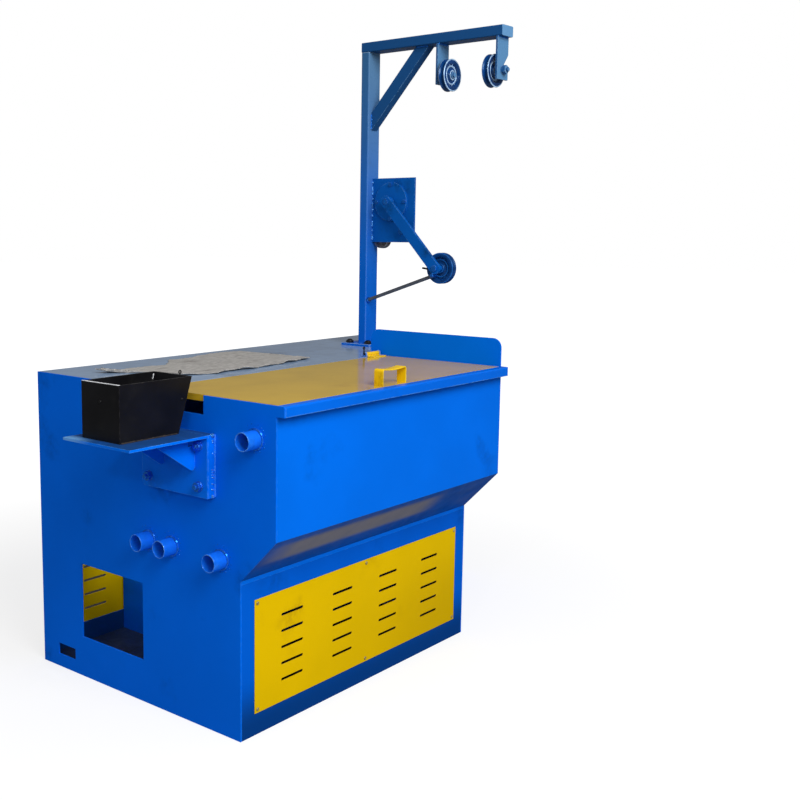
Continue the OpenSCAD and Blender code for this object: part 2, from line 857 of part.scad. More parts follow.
module mast_foot() {
    x0 = mast_mid - base_plate_w/2;
    y0 = mast_y0 + mast_d/2 - base_plate_d/2;
    bolt_x = base_plate_w/2 - base_bolt_inset;
    bolt_y = base_plate_d/2 - base_bolt_inset;
    color("royalblue") {
        span([x0, y0, table_h], [x0 + base_plate_w, y0 + base_plate_d, table_h + base_plate_t]);
        for (x = [-bolt_x, bolt_x], y = [-bolt_y, bolt_y])
            translate([mast_mid + x, mast_y0 + mast_d/2 + y, table_h + base_plate_t - 1])
                cylinder(r = 1.6*base_bolt_r, h = base_bolt_r + 1, $fn = 6);
    }
}

module mast_arm() {
    color("royalblue") translate([mast_mid, mast_y0 + mast_d, arm_under + mast_d/2]) rotate([90, 0, 0])
        linear_extrude(arm_reach + mast_d) round_rect(mast_w, mast_d, mast_r);
}

// Outline of the brace in the YZ plane, for a tube of height h
module brace_outline(h) {
    z0 = table_h + brace_z;
    run = [brace_out, arm_under - z0];
    on_mast = h*norm(run)/(2*run[0]);
    on_arm = h*norm(run)/(2*run[1]);
    polygon([[mast_y0, z0 - on_mast], [mast_y0, z0 + on_mast],
        [mast_y0 - brace_out + on_arm, arm_under], [mast_y0 - brace_out - on_arm, arm_under]]);
}

module mast_brace() {
    color("royalblue") difference() {
        yz_plate(mast_mid - mast_d/2, mast_d) brace_outline(brace_h);
        yz_plate(mast_mid - mast_d/2 + mast_wall, mast_d - 2*mast_wall)
            brace_outline(brace_h - 2*mast_wall);
    }
}

// A hanger plate whose rear face is at y, with its axle hole
module hanger(y, notch) {
    mid = mast_w/2;
    notch_low = hanger_notch_z + hanger_notch_h;
    edge = notch ? [[mast_w, -hanger_notch_z], [mast_w - hanger_notch_d, mast_wall - notch_low],
        [mast_w, -notch_low]] : [];
    color("royalblue") translate([mast_x0, y, arm_under]) rotate([90, 0, 0]) linear_extrude(hanger_t)
        difference() {
            polygon(concat([[0, 0], [mast_w, 0]], edge, [[mast_w, -hanger_h], [0, -hanger_h]]));
            translate([mid, -axle_drop]) circle(r = axle_r + seat);
        }
}

module hanger_rear() {
    hanger(mast_y0 - hanger_rear_out, false);
}

module hanger_front() {
    hanger(mast_y0 - hanger_front_out, true);
}

// An axle along Z: the plate that carries it ends at z = 0, the pulley is above
module axle(plate, spacer) {
    end = spacer + pulley_w + 2*side_gap;
    translate([0, 0, -plate - axle_tail]) cylinder(r = axle_r, h = plate + axle_tail + end + 1);
    translate([0, 0, -plate - nut_h]) cylinder(r = nut_r, h = nut_h, $fn = 6);
    cylinder(r = spacer_r, h = spacer);
    translate([0, 0, end]) cylinder(r = spacer_r, h = washer_t);
    translate([0, 0, end + washer_t]) cylinder(r = head_r, h = head_h, $fn = 6);
}

module axle_rear() {
    color("royalblue") translate([mast_mid, mast_y0 - hanger_rear_out - hanger_t, axle_z])
        rotate([90, 0, 0]) axle(hanger_t, spacer_len);
}

module axle_front() {
    color("royalblue") translate([mast_mid, mast_y0 - hanger_front_out, axle_z])
        rotate([-90, 0, 0]) axle(hanger_t, spacer_len);
}

// A grooved pulley about Z, its middle at z = 0
module pulley() {
    half = pulley_w/2;
    web = web_t/2;
    deep = pulley_r - groove_d;
    inner = deep - rim_t;
    side = [[axle_r + axle_gap, half], [hub_r, half], [hub_r + 2, web], [ring_r - 4, web],
        [ring_r - 3, web + 3], [ring_r, web + 3], [ring_r + 1, web], [inner - 2, web],
        [inner, half], [pulley_r - 2, half], [pulley_r, half - 2], [pulley_r, half - 4],
        [deep, 3]];
    rotate_extrude($fn = 96) polygon(concat(side, [for (i = [len(side) - 1:-1:0]) [side[i][0], -side[i][1]]]));
}

module guide_pulley_rear() {
    color("royalblue") translate([mast_mid,
        mast_y0 - hanger_rear_out - hanger_t - spacer_len - side_gap - pulley_w/2, axle_z])
        rotate([90, 0, 0]) pulley();
}

module guide_pulley_front() {
    color("royalblue") translate([mast_mid,
        mast_y0 - hanger_front_out + spacer_len + side_gap + pulley_w/2, axle_z])
        rotate([90, 0, 0]) pulley();
}

module dancer_plate() {
    z0 = table_h + dancer_z;
    color("royalblue") difference() {
        union() {
            span([dancer_x, mast_y0 - dancer_w, z0], [dancer_x + dancer_t, mast_y0, z0 + dancer_h]);
            translate([0, mast_y0 - plate_bolt_out, z0 + plate_bolt_z])
                x_rod(dancer_x - dancer_t, dancer_x + 1, plate_bolt_r);
        }
        translate([0, pivot_y, pivot_h]) x_rod(dancer_x - 1, dancer_x + dancer_t + 1, pivot_r + axle_gap);
    }
}

// Round bearing flange of the swing arm, with four bolts
module dancer_flange() {
    color("royalblue") translate([0, pivot_y, pivot_h]) {
        difference() {
            x_rod(dancer_x - flange_t, dancer_x, flange_r);
            x_rod(dancer_x - flange_t - 1, dancer_x + 1, pivot_r + axle_gap);
        }
        for (a = [0:90:270])
            rotate([a, 0, 0]) translate([0, flange_r - flange_bolt_in, 0])
                x_rod(dancer_x - flange_t - flange_bolt_h, dancer_x - flange_t + 1, flange_bolt_r);
    }
}

// Arm plate with its pivot shaft, retaining collar and the pulley's axle
module swing_arm() {
    color("royalblue") {
        translate([swing_x0, pivot_y, pivot_h]) rotate([-swing_angle, 0, 0]) {
            rotate([90, 0, 90]) linear_extrude(swing_t) {
                translate([-swing_w/2, -swing_len]) square([swing_w, swing_len]);
                for (z = [0, -swing_len])
                    translate([0, z]) circle(r = swing_w/2);
            }
        }
        translate([0, pivot_y, pivot_h]) {
            x_rod(swing_x0 - washer_t, dancer_x + dancer_t + side_gap + collar_t + 1, pivot_r);
            x_rod(swing_x1 - 1, dancer_x - flange_t - flange_bolt_h - side_gap, collar_r);
            translate([dancer_x + dancer_t + side_gap, 0, 0]) x_rod(0, collar_t, collar_r);
        }
        translate([swing_x1, tip_y, tip_z]) rotate([0, 90, 0]) {
            end = mast_mid + pulley_w/2 + side_gap - swing_x1;
            translate([0, 0, -swing_t - head_h]) cylinder(r = nut_r, h = head_h + 1, $fn = 6);
            translate([0, 0, -1]) cylinder(r = spacer_r, h = end - pulley_w - 2*side_gap + 1);
            translate([0, 0, -1]) cylinder(r = axle_r, h = end + 2);
            translate([0, 0, end]) cylinder(r = spacer_r, h = washer_t);
            translate([0, 0, end + washer_t - 1]) cylinder(r = head_r, h = head_h + 1, $fn = 6);
        }
    }
}

module dancer_pulley() {
    color("royalblue") translate([mast_mid, tip_y, tip_z]) rotate([0, 90, 0]) pulley();
}

// A rod of radius r between two points of the YZ plane, at the rest rod's x
module yz_rod(a, b, r) {
    d = b - a;
    translate([rod_x, a[0], a[1]]) rotate([-atan2(d[0], d[1]), 0, 0]) cylinder(r = r, h = norm(d));
}

// Rod from the mast to the pin that carries the swing arm, with a wire hook
module rest_rod() {
    foot = [mast_y0, table_h + rod_z];
    pin = [rest_y, rest_z];
    knee = pin + [hook_back, hook_rise];
    away = foot - pin;
    color("gray") difference() {
        union() {
            yz_rod(foot + away*0.02, pin, rod_r);
            yz_rod(foot + away*0.03, foot - away*0.02, boss_r);
            translate([0, rest_y, rest_z]) x_rod(swing_x0, rod_x + rod_r, rest_pin_r);
            yz_rod(pin + away*0.04, knee, wire_r);
            yz_rod(knee, knee + [hook_len, wire_r], wire_r);
            translate([rod_x, knee[0], knee[1]]) sphere(r = 1.2*wire_r, $fn = 24);
        }
        span([rod_x - 2*boss_r, mast_y0, foot[1] - 3*boss_r],
            [rod_x + 2*boss_r, mast_y0 + 3*boss_r, foot[1] + 3*boss_r]);
    }
}

// Round zinc housing behind the dancer's plate
module sensor_housing() {
    color("silver") translate([0, mast_y0 - sensor_out, table_h + dancer_z + sensor_z])
        difference() {
            x_rod(dancer_x + dancer_t, dancer_x + dancer_t + sensor_len, sensor_r);
            x_rod(dancer_x + dancer_t + sensor_len - 2, dancer_x + dancer_t + sensor_len + 1, sensor_r - sensor_edge);
        }
}

// Stepped drawing cone about Z: the wall's front face is at z = 0, the cone above it
module cone() {
    base = bearing_t + shaft_len;
    top = base + cone_steps*cone_step_w;
    rotate_extrude($fn = 96) polygon(concat(
        [[0, -plate_t], [shaft_r, -plate_t], [shaft_r, 0], [bearing_r, 0],
            [bearing_r, bearing_t - bearing_cut], [bearing_r - bearing_cut, bearing_t],
            [neck_r, bearing_t], [neck_r, base]],
        [for (i = [0:cone_steps - 1], k = [0, 1])
            [cone_r - i*cone_step, base + (i + k)*cone_step_w]],
        [[shaft_r, top], [shaft_r, top + shaft_end], [0, top + shaft_end]]));
}

module cone_left() {
    color("silver") translate([cone_places()[0], y_wall - plate_t, cone_z]) rotate([90, 0, 0]) cone();
}

module cone_right() {
    color("silver") translate([cone_places()[1], y_wall - plate_t, cone_z]) rotate([90, 0, 0]) cone();
}

left_side_plate();
right_side_plate();
middle_wall();
end_wall();
rear_wall();
rear_vent_panel();
base_front();
front_vent_panel();
cabinet_floor();
inner_partition();
tank_shell();
front_rim();
table_top();
table_mat();
tank_lid();
lid_handle();
lid_barrels();
hinge_lugs();
hinge_pins();
die_box();
die_shelf();
shelf_standoff();
shelf_bolts();
pipe_stub_upper();
pipe_stub_rear();
pipe_stub_middle();
pipe_stub_front();
mast_tube();
mast_foot();
mast_arm();
mast_brace();
hanger_rear();
hanger_front();
axle_rear();
axle_front();
guide_pulley_rear();
guide_pulley_front();
dancer_plate();
dancer_flange();
swing_arm();
dancer_pulley();
rest_rod();
sensor_housing();
cone_left();
cone_right();
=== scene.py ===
"""Look of the tank type wire drawing machine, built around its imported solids.

The solids come in as named nodes. Most keep their meshes and get a finish; the
pieces whose look depends on rounding, bends or small fasteners are made here
from numpy surfaces. Lengths are in metres unless a note says mm.
"""
from __future__ import annotations

import logging
import math
from dataclasses import dataclass, field, replace
from enum import Enum
from typing import Any, Mapping, Sequence

import bmesh
import bpy
import numpy as np
from mathutils import Matrix, Vector

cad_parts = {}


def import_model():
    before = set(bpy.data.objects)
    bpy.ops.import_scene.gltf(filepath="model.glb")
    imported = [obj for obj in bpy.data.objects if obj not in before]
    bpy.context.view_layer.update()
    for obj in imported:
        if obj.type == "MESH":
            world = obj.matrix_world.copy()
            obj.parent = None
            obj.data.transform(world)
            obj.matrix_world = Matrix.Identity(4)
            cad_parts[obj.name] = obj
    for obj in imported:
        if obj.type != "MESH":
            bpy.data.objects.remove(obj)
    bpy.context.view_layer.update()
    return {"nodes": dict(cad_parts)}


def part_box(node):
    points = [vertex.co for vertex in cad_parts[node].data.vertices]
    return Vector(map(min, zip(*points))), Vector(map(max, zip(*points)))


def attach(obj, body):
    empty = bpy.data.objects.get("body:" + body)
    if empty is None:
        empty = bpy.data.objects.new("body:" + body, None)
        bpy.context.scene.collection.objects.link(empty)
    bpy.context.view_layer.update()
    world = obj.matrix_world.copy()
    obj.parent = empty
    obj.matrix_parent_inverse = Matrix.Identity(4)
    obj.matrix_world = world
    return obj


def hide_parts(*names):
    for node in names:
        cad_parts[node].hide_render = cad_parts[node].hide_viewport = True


log = logging.getLogger("wire_drawing_machine")
MM = 0.001
# Step between the angles of an even scatter, in radians.
GOLDEN_ANGLE = 2.39996
# Circle where the chamfer of a hexagonal head starts, over its width across the flats.
CHAMFER_CIRCLE = 1.03
# Fall of that chamfer, the tangent of 30 degrees.
CHAMFER_SLOPE = 0.577
# Height of the step under the chamfer, over the width across the flats.
CHAMFER_STEP = 0.02
Point = Sequence[float]
Socket = bpy.types.NodeSocket
Colour = tuple[float, float, float]
Nodes = Mapping[str, bpy.types.Object]


class Axis(Enum):
    """Direction along which a turned piece is built."""

    X = 0
    Y = 1
    Z = 2


class Body(Enum):
    """Bodies of the machine that pieces ride on."""

    CABINET = "cabinet"
    LID = "lid"
    SWING_ARM = "swing_arm"
    DANCER_PULLEY = "dancer_pulley"
    GUIDE_REAR = "guide_pulley_rear"
    GUIDE_FRONT = "guide_pulley_front"


def srgb(red: int, green: int, blue: int) -> Colour:
    """Turn display values of 0 to 255 into linear light.

    Args:
        red: Red as displayed.
        green: Green as displayed.
        blue: Blue as displayed.

    Returns:
        The same colour in linear values of 0 to 1.
    """
    shown = np.array([red, green, blue]) / 255.0
    linear = np.where(shown <= 0.04045, shown / 12.92, ((shown + 0.055) / 1.055) ** 2.4)
    return tuple(float(part) for part in linear)


def put(name: str, data: Any) -> bpy.types.Object:
    """Make an object in the scene.

    Args:
        name: Name of the object.
        data: Its mesh, light or lens.

    Returns:
        The new object.
    """
    made = bpy.data.objects.new(name, data)
    bpy.context.scene.collection.objects.link(made)
    return made


class Graph:
    """Node tree of a material or a world, with short calls to add and join nodes."""

    def __init__(self, owner: bpy.types.Material | bpy.types.World) -> None:
        """Start with an empty tree.

        Args:
            owner: Material or world that the tree belongs to.
        """
        owner.use_nodes = True
        self.tree = owner.node_tree
        self.tree.nodes.clear()

    def add(self, kind: str, inputs: Mapping[Any, Any] | None = None, **settings: Any) -> bpy.types.Node:
        """Add one node.

        Args:
            kind: Blender's name of the node type.
            inputs: Sockets to join or values to set, by input name or number.
            settings: Properties of the node itself.

        Returns:
            The new node.
        """
        node = self.tree.nodes.new(kind)
        for key, value in settings.items():
            setattr(node, key, value)
        for key, value in (inputs or {}).items():
            if isinstance(value, Socket):
                self.tree.links.new(value, node.inputs[key])
            else:
                node.inputs[key].default_value = value
        return node

    def place(self) -> Socket:
        """Place on the object, in its own coordinates."""
        return self.add("ShaderNodeTexCoord").outputs["Object"]

    def normal(self) -> Socket:
        """Direction that the surface faces."""
        return self.add("ShaderNodeNewGeometry").outputs["Normal"]

    def part(self, vector: Socket, axis: Axis) -> Socket:
        """One coordinate of a vector."""
        return self.add("ShaderNodeSeparateXYZ", {0: vector}).outputs[axis.value]

    def dot(self, first: Any, second: Any) -> Socket:
        """Dot product of two vectors."""
        node = self.add("ShaderNodeVectorMath", {0: first, 1: second}, operation="DOT_PRODUCT")
        return node.outputs["Value"]

    def combine(self, operation: str, first: Any, second: Any) -> Socket:
        """Result of one sum on two values, by Blender's name of the sum."""
        return self.add("ShaderNodeMath", {0: first, 1: second}, operation=operation).outputs[0]

    def times(self, first: Any, second: Any) -> Socket:
        """Product of two values."""
        return self.combine("MULTIPLY", first, second)

    def seen(self) -> Socket:
        """1 for what the camera looks at, straight or through clear pieces, and 0 for the rest."""
        path = self.add("ShaderNodeLightPath").outputs
        return self.combine("MAXIMUM", path["Is Camera Ray"], path["Is Transmission Ray"])

    def noise(self, scale: float, detail: float, stretch: Point = (1, 1, 1)) -> Socket:
        """Noise on the object's own coordinates.

        Args:
            scale: Scale of the noise, per metre.
            detail: Octaves of the noise.
            stretch: Scale of each coordinate before the noise.

        Returns:
            The noise's value socket.
        """
        mapping = self.add("ShaderNodeMapping", {"Vector": self.place(), "Scale": tuple(stretch)})
        inputs = {"Vector": mapping.outputs[0], "Scale": scale, "Detail": detail}
        return self.add("ShaderNodeTexNoise", inputs).outputs[0]

    def span(self, value: Socket, low: float, high: float, to: Point = (0.0, 1.0)) -> Socket:
        """Map a value smoothly from one span to another.

        Args:
            value: Socket to map.
            low: Start of the span that is read.
            high: End of the span that is read.
            to: The two values that it becomes.

        Returns:
            The mapped value's socket.
        """
        ends = {"Value": value, "From Min": low, "From Max": high, "To Min": to[0], "To Max": to[1]}
        return self.add("ShaderNodeMapRange", ends, interpolation_type="SMOOTHSTEP").outputs[0]

    def blend(self, factor: Any, first: Any, second: Any, kind: str = "MIX") -> Socket:
        """Mix two colours.

        Args:
            factor: Share of the second colour.
            first: First colour or socket.
            second: Second colour or socket.
            kind: Blender's name of the way to mix.

        Returns:
            The mixed colour's socket.
        """
        pair = [value if isinstance(value, Socket) else (*value, 1.0) for value in (first, second)]
        inputs = {0: factor, 6: pair[0], 7: pair[1]}
        return self.add("ShaderNodeMix", inputs, data_type="RGBA", blend_type=kind).outputs[2]


# Values that noise mostly stays between.
NOISE_SPAN = (0.3, 0.7)
# Scale of the flecks in dirt over the scale of the dirt.
FLECK_RATIO = 14
# Rays for each rounded edge in the shading.
BEVEL_SAMPLES = 4


@dataclass(frozen=True)
class Finish:
    """One surface finish, from which its material is made.

    Attributes:
        name: Name of the material.
        colour: Main colour, linear.
        roughness: Mean roughness.
        specular: Strength of the plain reflection.
        metallic: 1 for bare metal.
        coat: Weight of the clear layer on top.
        coat_roughness: Roughness of that layer.
        mottle: How much lighter and darker the colour drifts.
        mottle_scale: Scale of that drift, per metre.
        peel: Height of the fine unevenness, in metres.
        peel_scale: Scale of the fine unevenness, per metre.
        soil: Colour of dirt.
        soiling: Share of the surface that dirt reaches.
        soil_scale: Scale of the dirt, per metre.
        worn: Colour of worn edges; on some finishes it is a painted highlight along the edges.
        edge_wear_and_highlight: Share of that edge colour.
        edge: Radius to which edges are rounded in the shading.
        streak: Stretch of the dirt and drift along X, Y and Z.
        painted_tone: Colour that the paint takes with height, as painted light and shade.
        painted_tone_share: Share of that colour at the far end of the span.
        painted_tone_span: Heights between which the painted tone comes in, in metres.
        flaw: Noise values between which an edge goes from plain to that colour.
        settle: Share of dust on what faces up.
        painted_side_tone: Colour of the painted shade that it takes instead on what doesn't face the front.
        under: Colour of the painted shade on what faces down.
        painted_underside_shade: Share of that painted shade.
        tint: Colour of the plain reflection.
        painted_light: Colour of a patch of painted light and shade in one box of space.
        painted_light_share: Share of that colour.
        painted_light_low: Low corner of that box, in metres.
        painted_light_high: High corner of that box.
        painted_light_soft: Width over which the patch ends, along each axis.
    """

    name: str
    colour: Colour
    roughness: float = 0.35
    specular: float = 0.25
    metallic: float = 0.0
    coat: float = 0.0
    coat_roughness: float = 0.12
    mottle: float = 0.06
    mottle_scale: float = 3.0
    peel: float = 0.00004
    peel_scale: float = 260.0
    soil: Colour = (0.02, 0.02, 0.02)
    soiling: float = 0.0
    soil_scale: float = 9.0
    worn: Colour = (0.3, 0.3, 0.3)
    edge_wear_and_highlight: float = 0.0
    edge: float = 0.0012
    streak: Point = (1, 1, 1)
    painted_tone: Colour = (0.2, 0.2, 0.2)
    painted_tone_share: float = 0.0
    painted_tone_span: tuple[float, float] = (1.25, 2.35)
    flaw: tuple[float, float] = (0.42, 0.62)
    settle: float = 0.0
    painted_side_tone: Colour | None = None
    under: Colour = (0.1, 0.1, 0.1)
    painted_underside_shade: float = 0.0
    tint: Colour = (1, 1, 1)
    painted_light: Colour = (0.2, 0.2, 0.2)
    painted_light_share: float = 0.0
    painted_light_low: Point = (-9, -9, -9)
    painted_light_high: Point = (9, 9, 9)
    painted_light_soft: Point = (0.01, 0.01, 0.01)

    def material(self) -> bpy.types.Material:
        """The finish's material, made once.

        Returns:
            A material with drift, dirt, painted light and shade, worn and highlighted edges and fine
            unevenness.
        """
        known = bpy.data.materials.get(self.name)
        if known:
            return known
        made = bpy.data.materials.new(self.name)
        graph = Graph(made)
        drift = graph.span(graph.noise(self.mottle_scale, 4, self.streak), *NOISE_SPAN,
                           (1 - self.mottle, 1 + self.mottle))
        grey = graph.add("ShaderNodeCombineColor", {0: drift, 1: drift, 2: drift}).outputs[0]
        colour = self.dirt_and_painted_light(graph, graph.blend(1.0, self.colour, grey, "MULTIPLY"))
        # Painted light and shade: a tone that comes in with height, and another on what doesn't face the
        # front.
        if self.painted_tone_share:
            colour = self.painted_light_and_shade(graph, colour)
        soft = graph.add("ShaderNodeBevel", {"Radius": self.edge}, samples=BEVEL_SAMPLES).outputs[0]
        # Worn edges, which on some finishes are a painted highlight.
        if self.edge_wear_and_highlight:
            colour = graph.blend(self.edge_wear_and_highlight_mask(graph), colour, self.worn)
        rough = graph.span(graph.noise(self.mottle_scale * 5, 5, self.streak), *NOISE_SPAN,
                           (self.roughness * 0.82, min(1.0, self.roughness * 1.2)))
        bump = graph.add("ShaderNodeBump", {"Height": graph.noise(self.peel_scale, 2), "Normal": soft,
                                            "Strength": 0.6, "Distance": self.peel})
        shader = graph.add("ShaderNodeBsdfPrincipled", {
            "Base Color": colour, "Roughness": rough, "Metallic": self.metallic, "Normal": bump.outputs[0],
            "Specular IOR Level": self.specular, "Specular Tint": (*self.tint, 1.0),
            "Coat Weight": self.coat, "Coat Roughness": self.coat_roughness, "Coat Tint": (*self.tint, 1.0)})
        graph.add("ShaderNodeOutputMaterial", {"Surface": shader.outputs[0]})
        return made

    def dirt_and_painted_light(self, graph: Graph, colour: Socket) -> Socket:
        """Lay dirt, dust, painted shade and a patch of painted light and shade over a colour.

        Dirt is a cloud of noise times fine flecks. Dust lies on what faces up, and
        painted shade on what faces down.

        Args:
            graph: Tree of the material.
            colour: The clean colour.

        Returns:
            The colour with dirt, dust and painted light and shade, as a socket.
        """
        if self.soiling:
            cloud = graph.noise(self.soil_scale, 8, self.streak)
            fleck = graph.noise(self.soil_scale * FLECK_RATIO, 3)
            dirt = graph.span(cloud, 0.62 - 0.2 * self.soiling, 0.78, (0.0, 0.75))
            dirt = graph.times(dirt, graph.span(fleck, 0.3, 0.6, (0.35, 1.0)))
            colour = graph.blend(dirt, colour, self.soil)
        if self.settle:
            dust = graph.span(graph.noise(14.0, 6), 0.2, 0.5, (0.7 * self.settle, self.settle))
            up = graph.span(graph.part(graph.normal(), Axis.Z), 0.7, 0.95)
            colour = graph.blend(graph.times(up, dust), colour, self.soil)
        # Painted shade, in streaks, on what faces down.
        if self.painted_underside_shade:
            streaks = graph.noise(3.0, 5, (1, 4, 9))
            shade_share = graph.span(streaks, 0.35, 0.62, (0.8 * self.painted_underside_shade, self.painted_underside_shade))
            down = graph.span(graph.part(graph.normal(), Axis.Z), -0.4, -0.6)
            colour = graph.blend(graph.times(down, shade_share), colour, self.under)
        # A patch of painted light and shade in one box of space.
        if self.painted_light_share:
            colour = graph.blend(self.patch(graph), colour, self.painted_light)
        return colour

    def painted_light_and_shade(self, graph: Graph, colour: Socket) -> Socket:
        """Paint light and shade in with a tone that comes with height, and another tone on what doesn't face
        the front.

        Args:
            graph: Tree of the material.
            colour: Colour below the painted tone.

        Returns:
            The colour's socket, with painted light and shade.
        """
        pale: Any = self.painted_tone
        if self.painted_side_tone:
            front = graph.span(graph.part(graph.normal(), Axis.Y), -0.75, -0.95)
            pale = graph.blend(front, self.painted_side_tone, self.painted_tone)
        height = graph.part(graph.place(), Axis.Z)
        return graph.blend(graph.span(height, *self.painted_tone_span, (0.0, self.painted_tone_share)), colour, pale)

    def edge_wear_and_highlight_mask(self, graph: Graph) -> Socket:
        """Share of worn edge and painted edge highlight: where the rounded normal leaves the true one,
        broken up by noise.

        Args:
            graph: Tree of the material.

        Returns:
            The share's socket.
        """
        wide = graph.add("ShaderNodeBevel", {"Radius": self.edge * 1.6}, samples=BEVEL_SAMPLES).outputs[0]
        turn = graph.dot(wide, graph.normal())
        ragged = graph.span(graph.noise(60.0, 5), *self.flaw, (0.0, self.edge_wear_and_highlight))
        return graph.times(graph.span(turn, 0.99, 0.9), ragged)

    def patch(self, graph: Graph) -> Socket:
        """Share of the patch of painted light and shade: the product of a rise and a fall along each axis.

        Args:
            graph: Tree of the material.

        Returns:
            The share's socket.
        """
        share = graph.span(graph.noise(7.0, 4), 0.2, 0.5, (0.8 * self.painted_light_share, self.painted_light_share))
        for axis, low, high, soft in zip(Axis, self.painted_light_low, self.painted_light_high, self.painted_light_soft):
            along = graph.part(graph.place(), axis)
            share = graph.times(share, graph.span(along, low - soft, low + soft))
            share = graph.times(share, graph.span(along, high - soft, high + soft, (1.0, 0.0)))
        return share


# Blue cast of the plain reflection on blue pieces.
GLINT = (0.42, 0.72, 1.0)

# Tank enamel. Its colour for what faces down is painted shade, its patch on the tank's sloping underside a
# painted reflection, and its worn edges partly a painted edge highlight.
BLUE = Finish("blue_enamel", srgb(0, 109, 233), roughness=0.4, specular=0.02, mottle=0.04,
              soil=srgb(2, 62, 150), soiling=0.04, soil_scale=3.0, worn=srgb(70, 150, 245), edge_wear_and_highlight=0.6,
              under=srgb(2, 66, 150), painted_underside_shade=0.7, painted_light=srgb(134, 136, 146), painted_light_share=0.92,
              painted_light_low=(-0.55, -0.655, 0.557), painted_light_high=(0.27, -0.4, 0.625), painted_light_soft=(0.09, 0.001, 0.012))
# The rim's worn edges are partly real and partly a painted highlight along its upper edge.
BLUE_RIM = Finish("blue_rim_enamel", srgb(0, 102, 222), roughness=0.34, specular=0.06, tint=GLINT,
                  mottle=0.05, soil=srgb(2, 62, 150), soiling=0.12, soil_scale=6.0,
                  worn=srgb(116, 182, 246), edge_wear_and_highlight=0.85, edge=0.0026, flaw=(0.32, 0.5))
# Darker towards the floor: painted shade.
BLUE_BASE = Finish("blue_base_enamel", srgb(0, 93, 210), roughness=0.42, specular=0.015, mottle=0.05,
                   soil=srgb(4, 56, 126), soiling=0.16, soil_scale=3.0, worn=srgb(70, 150, 245), edge_wear_and_highlight=0.5,
                   painted_tone=srgb(4, 60, 132), painted_tone_share=1.0, painted_tone_span=(0.2, 0.03))
BLUE_SIDE = Finish("blue_side_enamel", srgb(0, 108, 238), roughness=0.42, specular=0.02, mottle=0.05,
                   mottle_scale=2.2, soil=srgb(2, 66, 154), soiling=0.12, soil_scale=3.4,
                   worn=srgb(70, 150, 245), edge_wear_and_highlight=0.6)
# Painted shade on the inner face of the rear wall below its vent panel.
REAR_SIDE = replace(BLUE_SIDE, name="blue_rear_enamel", painted_light=srgb(18, 58, 108), painted_light_share=0.95,
                    painted_light_high=(9, 0.4862, 0.2), painted_light_soft=(0.1, 0.0006, 0.06))
# Paler at the shelf's outer tip: painted light, over the dust that settles on top.
SHELF = Finish("dusty_blue_enamel", srgb(0, 112, 240), roughness=0.42, specular=0.06, mottle=0.05,
               tint=GLINT, mottle_scale=2.2, soil=srgb(30, 68, 120), soiling=0.1, soil_scale=3.4,
               worn=srgb(110, 180, 245), edge_wear_and_highlight=0.8, settle=0.92, flaw=(0.36, 0.56),
               painted_light=srgb(120, 178, 232), painted_light_share=0.75, painted_light_low=(-0.99, -0.17, 0.925),
               painted_light_high=(-0.925, 0.0, 0.96), painted_light_soft=(0.02, 0.05, 0.004))
BLUE_FIXED = Finish("bright_blue_enamel", srgb(6, 116, 246), roughness=0.26, specular=0.3, mottle=0.06,
                    mottle_scale=9.0, soil=srgb(8, 70, 160), soiling=0.12, soil_scale=16.0, tint=GLINT,
                    worn=srgb(110, 180, 250), edge_wear_and_highlight=0.75, edge=0.0016, flaw=(0.36, 0.56))
STUB = Finish("stub_enamel", srgb(20, 118, 244), roughness=0.22, specular=0.6, metallic=0.2,
              tint=(0.5, 0.8, 1.0), mottle=0.12, mottle_scale=30.0, soil=srgb(14, 70, 146), soiling=0.25,
              soil_scale=30.0, worn=srgb(140, 200, 250), edge_wear_and_highlight=0.8, edge=0.0016, flaw=(0.36, 0.56))
# Paler higher up on what faces the front and darker on the sides: painted light and shade. Its worn colour
# is a painted highlight along the tube's rounded corners.
BLUE_MAST = Finish("blue_mast_enamel", srgb(4, 98, 206), roughness=0.3, specular=0.1, mottle=0.06,
                   mottle_scale=6.0, soil=srgb(12, 50, 104), soiling=0.14, soil_scale=12.0, tint=GLINT,
                   worn=srgb(176, 208, 240), edge_wear_and_highlight=0.9, edge=0.0028, painted_tone=srgb(92, 134, 170),
                   painted_side_tone=srgb(56, 104, 148), painted_tone_share=0.95, flaw=(0.1, 0.3))
# Paler on what faces the front, darker on the sides and darker underneath: painted light and shade.
BLUE_ARM = Finish("dull_blue_enamel", srgb(22, 78, 138), roughness=0.3, specular=0.04, mottle=0.08,
                  mottle_scale=8.0, soil=srgb(12, 50, 104), soiling=0.2, soil_scale=12.0, tint=GLINT,
                  worn=srgb(130, 180, 226), edge_wear_and_highlight=0.8, edge=0.002, flaw=(0.36, 0.56),
                  painted_tone=srgb(100, 150, 196), painted_side_tone=srgb(28, 78, 134), painted_tone_share=1.0,
                  painted_tone_span=(1.4, 1.5), under=srgb(6, 32, 70), painted_underside_shade=0.9)
BLUE_DANCER = Finish("blue_dancer_enamel", srgb(8, 88, 176), roughness=0.3, specular=0.06, mottle=0.08,
                     mottle_scale=8.0, soil=srgb(10, 54, 104), soiling=0.3, soil_scale=12.0, tint=GLINT,
                     worn=srgb(120, 175, 225), edge_wear_and_highlight=0.7, edge=0.0016, flaw=(0.4, 0.6))
# Paler on what faces the front and darker on the sides: painted light and shade.
BLUE_HANGER = Finish("pale_blue_enamel", srgb(84, 134, 186), roughness=0.3, specular=0.25, mottle=0.1,
                     tint=GLINT, mottle_scale=14.0, worn=srgb(190, 214, 236), edge_wear_and_highlight=0.7,
                     painted_tone=srgb(90, 140, 186), painted_side_tone=srgb(34, 84, 140), painted_tone_share=1.0,
                     painted_tone_span=(1.4, 1.5))
